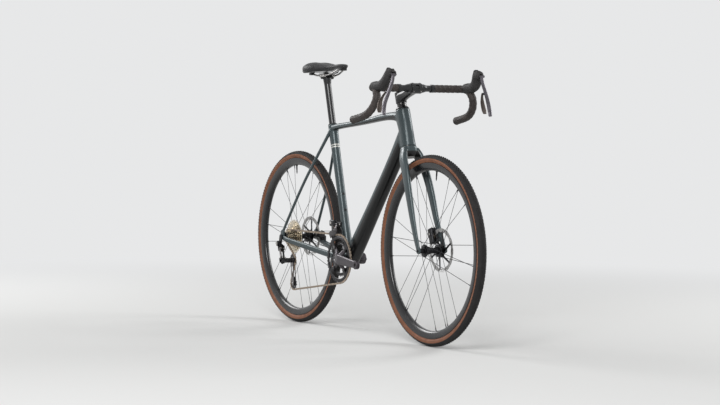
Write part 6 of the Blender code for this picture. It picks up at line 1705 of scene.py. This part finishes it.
def front_derailleur(black, grey, bolts):
    """The body on the seat tube, its link and the cage round the chain."""
    head = joint_place("front_derailleur_link_swing")
    foot = joint_place("front_derailleur_cage_swing")
    bm = bmesh.new()
    block(bm, from_rear(0.332, -0.027, 0.414), (0.038, 0.014, 0.025), None, 0.0042)
    block(bm, from_rear(0.369, -0.0217, 0.411), (0.042, 0.005, 0.018), None, 0.0018)
    for way in (-1, 1):
        block(bm, head + FORWARD * (way * 0.0099), (0.0032, 0.01, 0.01), None, 0.0012)
    rod(bm, from_rear(0.33, -0.02, 0.414), from_rear(0.33, -0.0345, 0.414), 0.0095, 32)
    finish("fd_body", moulded(bm, 0.001, 4), "frame", black, ["front_derailleur_body"], sharp=45)
    bolts_piece("fd_bolts", "frame", bolts, (from_rear(0.33, -0.0343, 0.414), -LEFT, 0.005, 0.002),
                (from_rear(0.381, -0.024, 0.411), -LEFT, 0.0046, 0.003))
    bm = bmesh.new()
    tube(bm, [(head, 0.0062, 0.0019), (foot, 0.0062, 0.0019)], 24, 4, FORWARD)
    for end in (head, foot):
        pivot_eye(bm, end, FORWARD, 0.008, 0.0034, 0.0029, 24)
    finish("fd_link_plate", moulded(bm, 0.0007, 3), "fd_link", grey, ["front_derailleur_link"], sharp=45)

    crest = pitch_radius(RING_TEETH[0]) + 0.002
    place = CRANK_AXIS + LEFT * RING_Y
    bm = bmesh.new()
    for way, outline in ((-1, arc_plate(crest + 0.001, 0.112, 0.122, 97, 128)),
                         (1, arc_plate(crest - 0.01, 0.122, 0.129, 104, 128))):
        plate(bm, [outline], 0.0012, place + LEFT * (way * 0.0051), bevel=0.0003)
    rim_route = [place - LEFT * 0.0055 + in_side_view(97 + 31 * i / 24) * (0.1118 + 0.0098 * i / 24)
                 for i in range(25)]
    sweep(bm, rim_route, [0.0009] * len(rim_route), 10)
    block(bm, place + in_side_view(109) * 0.1085, (0.008, 0.0102, 0.0028),
          Matrix.Rotation(math.radians(-19), 4, "Y"), 0.0008, 2)
    tail = place + in_side_view(126) * 0.1
    rod(bm, tail - LEFT * 0.0056, tail + LEFT * 0.0056, 0.0022, 20)
    low = foot.y + 0.0034
    for way in (-1, 1):
        ear = foot + FORWARD * (way * 0.0099)
        ear.y = (low + place.y + 0.0045) / 2
        block(bm, ear, (0.0032, low - place.y - 0.0045, 0.007), None, 0.0008, 2)
    finish("fd_cage_plates", bm, "fd_cage", grey, ["front_derailleur_cage"], sharp=32)


class BIKE_OT_derailleurs(Operator):
    """Both derailleurs"""

    bl_idname = "bike.derailleurs"
    bl_label = "Derailleurs"

    def execute(self, context):
        black = metal("derailleur_black", "black_alloy", (0.024, 0.024, 0.026), 0.3, 0.7)
        grey = metal("derailleur_grey", "grey_alloy", (0.16, 0.15, 0.15), 0.3, 0.9)
        bolts = metal("derailleur_bolt_steel", "steel", (0.42, 0.41, 0.4), 0.25, 1.0)
        rear_derailleur(black, grey, bolts)
        front_derailleur(black, metal("derailleur_cage_dark", "grey_alloy", (0.06, 0.056, 0.058), 0.3, 0.9),
                         bolts)
        dress("derailleur_hanger", metal("hanger_metal", "black_alloy", (0.03, 0.03, 0.032), 0.36, 0.8))
        return {"FINISHED"}


# Saddle and seatpost

# Each station's share of the length, half width, top and foot, the last two from the saddle's height
SADDLE_STATIONS = ((0.00, 0.05, 0.002, -0.027), (0.05, 0.066, 0.0085, -0.034),
                   (0.16, 0.0725, 0.011, -0.035), (0.3, 0.066, 0.007, -0.032),
                   (0.45, 0.047, 0.001, -0.03), (0.58, 0.0315, -0.002, -0.0275),
                   (0.74, 0.0225, -0.001, -0.0235), (0.9, 0.019, 0.0005, -0.019),
                   (0.975, 0.0135, -0.0025, -0.018), (1.00, 0.007, -0.006, -0.0185))


def section_ring(bm, run, outline):
    """A ring through given (side, height) points, smoothed round, at a run ahead of the axle."""
    count = len(outline)
    points = [Vector((*outline[i], 0)) for i in range(count)]
    closed = [points[-1], *points, points[0], points[1]]
    smooth = curve_points(closed, 4)[4:4 + count * 4]
    verts = bmesh.ops.create_circle(bm, cap_ends=False, radius=1.0, segments=len(smooth))["verts"]
    for vert, point in zip(verts, smooth):
        vert.co = from_rear(run, point.x, point.y)
    return verts


def saddle_rings(bm, outline_at, per_span=5):
    """Rings over the saddle's stations, each from its smoothed size."""
    sizes = curve_points([Vector(station[:3]) for station in SADDLE_STATIONS], per_span)
    lows = curve_points([Vector((station[0], station[3], 0)) for station in SADDLE_STATIONS], per_span)
    return [section_ring(bm, SADDLE_BACK + SADDLE_LENGTH * size.x, outline_at(*size, low.y))
            for size, low in zip(sizes, lows)]


def cover_outline(share, half, top, low):
    """The cover's section: a channel along the crown, a rounded edge and a tucked-in base."""
    high = SADDLE_HEIGHT + top
    base = SADDLE_HEIGHT + low + 0.01
    thick = high - base
    channel = 0.0045 * math.sin(math.pi * min(1.0, max(0.0, (share - 0.1) / 0.75)))
    wing = 0.006 * math.sin(math.pi * min(1.0, (share + 0.08) / 0.62))
    outline = [(0.00, high - channel), (0.12, high - channel * 0.85), (0.28, high - channel * 0.05),
               (0.45, high - thick * 0.03), (0.66, high - thick * 0.11), (0.84, high - thick * 0.29),
               (0.96, high - thick * 0.5), (0.99, high - thick * 0.74 - wing * 0.6),
               (0.94, base - 0.0012 - wing), (0.89, base - 0.0005 - wing * 0.7), (0.45, base)]
    right = [(-half * out, height) for out, height in outline]
    return right + [(half * out, height) for out, height in reversed(outline[1:])]


def shell_outline(share, half, top, low):
    """The hard shell's section under the cover."""
    high = SADDLE_HEIGHT + low + 0.0097
    wide = half * 0.88
    row = [(1.0, high), (0.99, high - 0.003), (0.93, high - 0.006), (0.5, high - 0.0062),
           (-0.5, high - 0.0062), (-0.93, high - 0.006), (-0.99, high - 0.003), (-1.0, high)]
    return [(wide * out, height) for out, height in row]


def rail_route():
    """The rails' centre line: one bar, from the back right, round the nose, to the back left."""
    rear = [from_rear(0.152, -0.034, 0.999), from_rear(0.165, -0.026, 0.9925),
            from_rear(0.182, -0.022, 0.9885)]
    front = [from_rear(0.258, -0.022, 0.9885), from_rear(0.288, -0.019, 0.9935),
             from_rear(0.33, -0.013, 1.006), from_rear(0.352, -0.006, 1.01)]
    right = curve_points(rear, 6) + curve_points(front, 6)
    return right + [Vector((p.x, -p.y, p.z)) for p in reversed(right)]


class BIKE_OT_saddle(Operator):
    """Saddle cover, shell and rails, and the seatpost with its clamp"""

    bl_idname = "bike.saddle"
    bl_label = "Saddle"

    def execute(self, context):
        bm = bmesh.new()
        skin(bm, saddle_rings(bm, cover_outline))
        surface = saddle_surface(tuple(context.scene.saddle_looks.cover_colour))
        cover = finish("saddle_cover", bm, "seat", surface, ["saddle_cushion"], sharp=60)
        black = black_gloss("saddle_black")
        bm = bmesh.new()
        skin(bm, saddle_rings(bm, shell_outline))
        for side in (-1, 1):
            block(bm, from_rear(0.156, side * 0.0315, 0.997), (0.02, 0.016, 0.014), None, 0.003)
        block(bm, from_rear(0.35, 0, 1.0115), (0.022, 0.028, 0.014), None, 0.003)
        finish("saddle_base", bm, "seat", black, ["saddle_shell"], sharp=50)
        route = rail_route()
        rails = metal("rail_steel", "steel", (0.3, 0.29, 0.285), 0.24, 1.0, 120.0)
        finish("saddle_rail_bar", alone(sweep, route, [0.0035] * len(route), 20), "seat", rails,
               ["saddle_rails"])

        top = on_seat(0.716)
        bm = bmesh.new()
        rod(bm, on_seat(0.36), on_seat(0.709), 0.0136, 48)
        tube(bm, [(on_seat(0.7), 0.0136, 0.0136), (Vector((top.x, 0, 0.979)), 0.017, 0.0158)], 40, 2.2)
        rod(bm, Vector((top.x, -0.027, 0.983)), Vector((top.x, 0.027, 0.983)), 0.0092, 40)
        finish("post_tube", moulded(bm, 0.0016, 4), "seat", black, ["seatpost"], sharp=45)
        silver = metal("clamp_silver", "steel", (0.45, 0.44, 0.43), 0.26, 1.0, 90.0)
        bm = bmesh.new()
        for side in (-1, 1):
            block(bm, Vector((top.x, side * 0.022, 0.9862)), (0.038, 0.012, 0.0088), None, 0.0022)
            block(bm, Vector((top.x, side * 0.022, 0.9925)), (0.036, 0.0115, 0.005), None, 0.0016)
            socket_bolt(bm, Vector((top.x, side * 0.0278, 0.986)), LEFT * side, 0.0045, 0.003)
        rod(bm, Vector((top.x, -0.028, 0.986)), Vector((top.x, 0.028, 0.986)), 0.004, 20)
        finish("rail_clamp", bm, "seat", silver)
        return {"FINISHED"}


# Small solids that stay as they are

class BIKE_OT_fittings(Operator):
    """Surfaces for the axles and bearings that keep their solids"""

    bl_idname = "bike.fittings"
    bl_label = "Axles and bearings"

    def execute(self, context):
        axle = metal("axle_metal", "black_alloy", (0.035, 0.035, 0.037), 0.3, 0.85)
        for name in ("front_thru_axle", "rear_thru_axle"):
            dress(name, axle)
        bearing = metal("bearing_steel", "steel", (0.4, 0.39, 0.38), 0.25, 1.0)
        for name in ("headset_bearing_upper", "headset_bearing_lower"):
            dress(name, bearing)
        return {"FINISHED"}


# Stage

CAMERA_PLACE = Vector((6.6251, -3.7614, 0.7754))
CAMERA_TURN = (29.5316, -2.0723, 0.5262)    # yaw, pitch and roll in degrees
CAMERA_LENS = 100.04                        # in millimetres, on a sensor 36 mm wide


def floor_surface(looks):
    """A plain pale floor that reaches the backdrop's own colour far from the bike."""
    floor = Surface("floor_plain", "", tuple(looks.floor_colour), 0.9)
    floor.feed("Specular IOR Level", 0.1)
    away = floor.node("ShaderNodeVectorMath", {"operation": "LENGTH"}, {0: floor.place()}, "Value")
    share = floor.ranged(away, 1.2, 4.5) * floor.background_rays()
    backdrop = floor.node("ShaderNodeEmission", inputs={"Color": (*looks.backdrop_colour, 1.0)})
    mix = floor.node("ShaderNodeMixShader",
                     inputs={0: share, 1: Value(floor, floor.shader.outputs["BSDF"]), 2: backdrop})
    floor.plug(floor.tree.nodes["Material Output"].inputs["Surface"], mix)
    return floor.material


def studio_world(looks):
    """A dim room that the camera and the glossy pieces see as a pale backdrop."""
    world = bpy.data.worlds.new("studio")
    world.use_nodes = True
    graph = Graph(world.node_tree)
    room = graph.tree.nodes["Background"]
    graph.plug(room.inputs["Color"], (0.8, 0.81, 0.82, 1.0))
    graph.plug(room.inputs["Strength"], looks.room_light)
    backdrop = graph.node("ShaderNodeBackground", inputs={"Color": (*looks.backdrop_colour, 1.0)})
    mix = graph.node("ShaderNodeMixShader", inputs={
        0: graph.background_rays(), 1: Value(graph, room.outputs["Background"]), 2: backdrop})
    graph.plug(graph.tree.nodes["World Output"].inputs["Surface"], mix)
    return world


class BIKE_OT_stage(Operator):
    """Floor, lights, world and camera"""

    bl_idname = "bike.stage"
    bl_label = "Stage"

    def execute(self, context):
        scene = context.scene
        looks = scene.stage_looks
        floor_mesh = bpy.data.meshes.new("floor")
        bm = bmesh.new()
        bmesh.ops.create_grid(bm, x_segments=1, y_segments=1, size=30.0)
        bm.to_mesh(floor_mesh)
        bm.free()
        floor = bpy.data.objects.new("floor", floor_mesh)
        floor.location = (0, 0, -0.0004)
        scene.collection.objects.link(floor)
        floor_mesh.materials.append(floor_surface(looks))
        scene.world = studio_world(looks)
        for name, place, aim, size, power in (
                ("key_light", (4.2, -3.6, 3.4), (0.2, 0, 0.5), 2.6, 230.0),
                ("side_light", (1.0, 4.4, 2.6), (0.2, 0, 0.6), 2.2, 120.0),
                ("rear_light", (-4.0, -1.8, 2.8), (-0.2, 0, 0.5), 2.2, 120.0)):
            lamp = bpy.data.lights.new(name, "AREA")
            lamp.size = size
            lamp.energy = power * looks.lamp_light
            light = bpy.data.objects.new(name, lamp)
            light.location = place
            light.rotation_euler = (Vector(aim) - Vector(place)).to_track_quat("-Z", "Y").to_euler()
            scene.collection.objects.link(light)

        yaw, pitch, roll = (math.radians(angle) for angle in CAMERA_TURN)
        ahead = Vector((-math.cos(yaw) * math.cos(pitch), math.sin(yaw) * math.cos(pitch), math.sin(pitch)))
        right = ahead.cross(UP).normalized()
        up = right.cross(ahead)
        across = right * math.cos(roll) + up * math.sin(roll)
        rise = up * math.cos(roll) - right * math.sin(roll)
        camera_data = bpy.data.cameras.new("camera")
        camera_data.sensor_width = 36.0
        camera_data.lens = CAMERA_LENS
        camera = bpy.data.objects.new("camera", camera_data)
        turn = Matrix((across, rise, -ahead)).transposed().to_4x4()
        camera.matrix_world = Matrix.Translation(CAMERA_PLACE) @ turn
        scene.collection.objects.link(camera)
        scene.camera = camera
        scene.view_settings.view_transform = "Standard"
        return {"FINISHED"}


class BIKE_PT_pieces(Panel):
    """Lists the settings and the groups of pieces"""

    bl_idname = "BIKE_PT_pieces"
    bl_label = "Bike"
    bl_space_type = "VIEW_3D"
    bl_region_type = "UI"
    bl_category = "Bike"

    def draw(self, context):
        for name, _ in LOOKS:
            group = getattr(context.scene, name)
            box = self.layout.box()
            for setting in group.bl_rna.properties.keys():
                if setting not in ("rna_type", "name"):
                    box.prop(group, setting)
        for operator in OPERATORS:
            self.layout.operator(operator.bl_idname)


LOOKS = (("frame_looks", FrameLooks), ("wheel_looks", WheelLooks), ("cockpit_looks", CockpitLooks),
         ("drivetrain_looks", DrivetrainLooks), ("saddle_looks", SaddleLooks), ("stage_looks", StageLooks))
OPERATORS = (BIKE_OT_frame, BIKE_OT_fork, BIKE_OT_wheels, BIKE_OT_cockpit, BIKE_OT_brakes,
             BIKE_OT_crankset, BIKE_OT_chain, BIKE_OT_cassette, BIKE_OT_derailleurs, BIKE_OT_saddle,
             BIKE_OT_fittings, BIKE_OT_stage)


def register():
    """Register the classes and hang the settings on the scene."""
    for name, group in LOOKS:
        bpy.utils.register_class(group)
        setattr(bpy.types.Scene, name, PointerProperty(type=group))
    for operator in OPERATORS:
        bpy.utils.register_class(operator)
    bpy.utils.register_class(BIKE_PT_pieces)


def unregister():
    """Take the classes and the settings away again."""
    bpy.utils.unregister_class(BIKE_PT_pieces)
    for operator in reversed(OPERATORS):
        bpy.utils.unregister_class(operator)
    for name, group in reversed(LOOKS):
        delattr(bpy.types.Scene, name)
        bpy.utils.unregister_class(group)


def main():
    """Build every group in order."""
    register()
    bpy.ops.bike.frame()
    bpy.ops.bike.fork()
    bpy.ops.bike.wheels()
    bpy.ops.bike.cockpit()
    bpy.ops.bike.brakes()
    bpy.ops.bike.crankset()
    bpy.ops.bike.chain()
    bpy.ops.bike.cassette()
    bpy.ops.bike.derailleurs()
    bpy.ops.bike.saddle()
    bpy.ops.bike.fittings()
    bpy.ops.bike.stage()


if __name__ == "__main__":
    main()
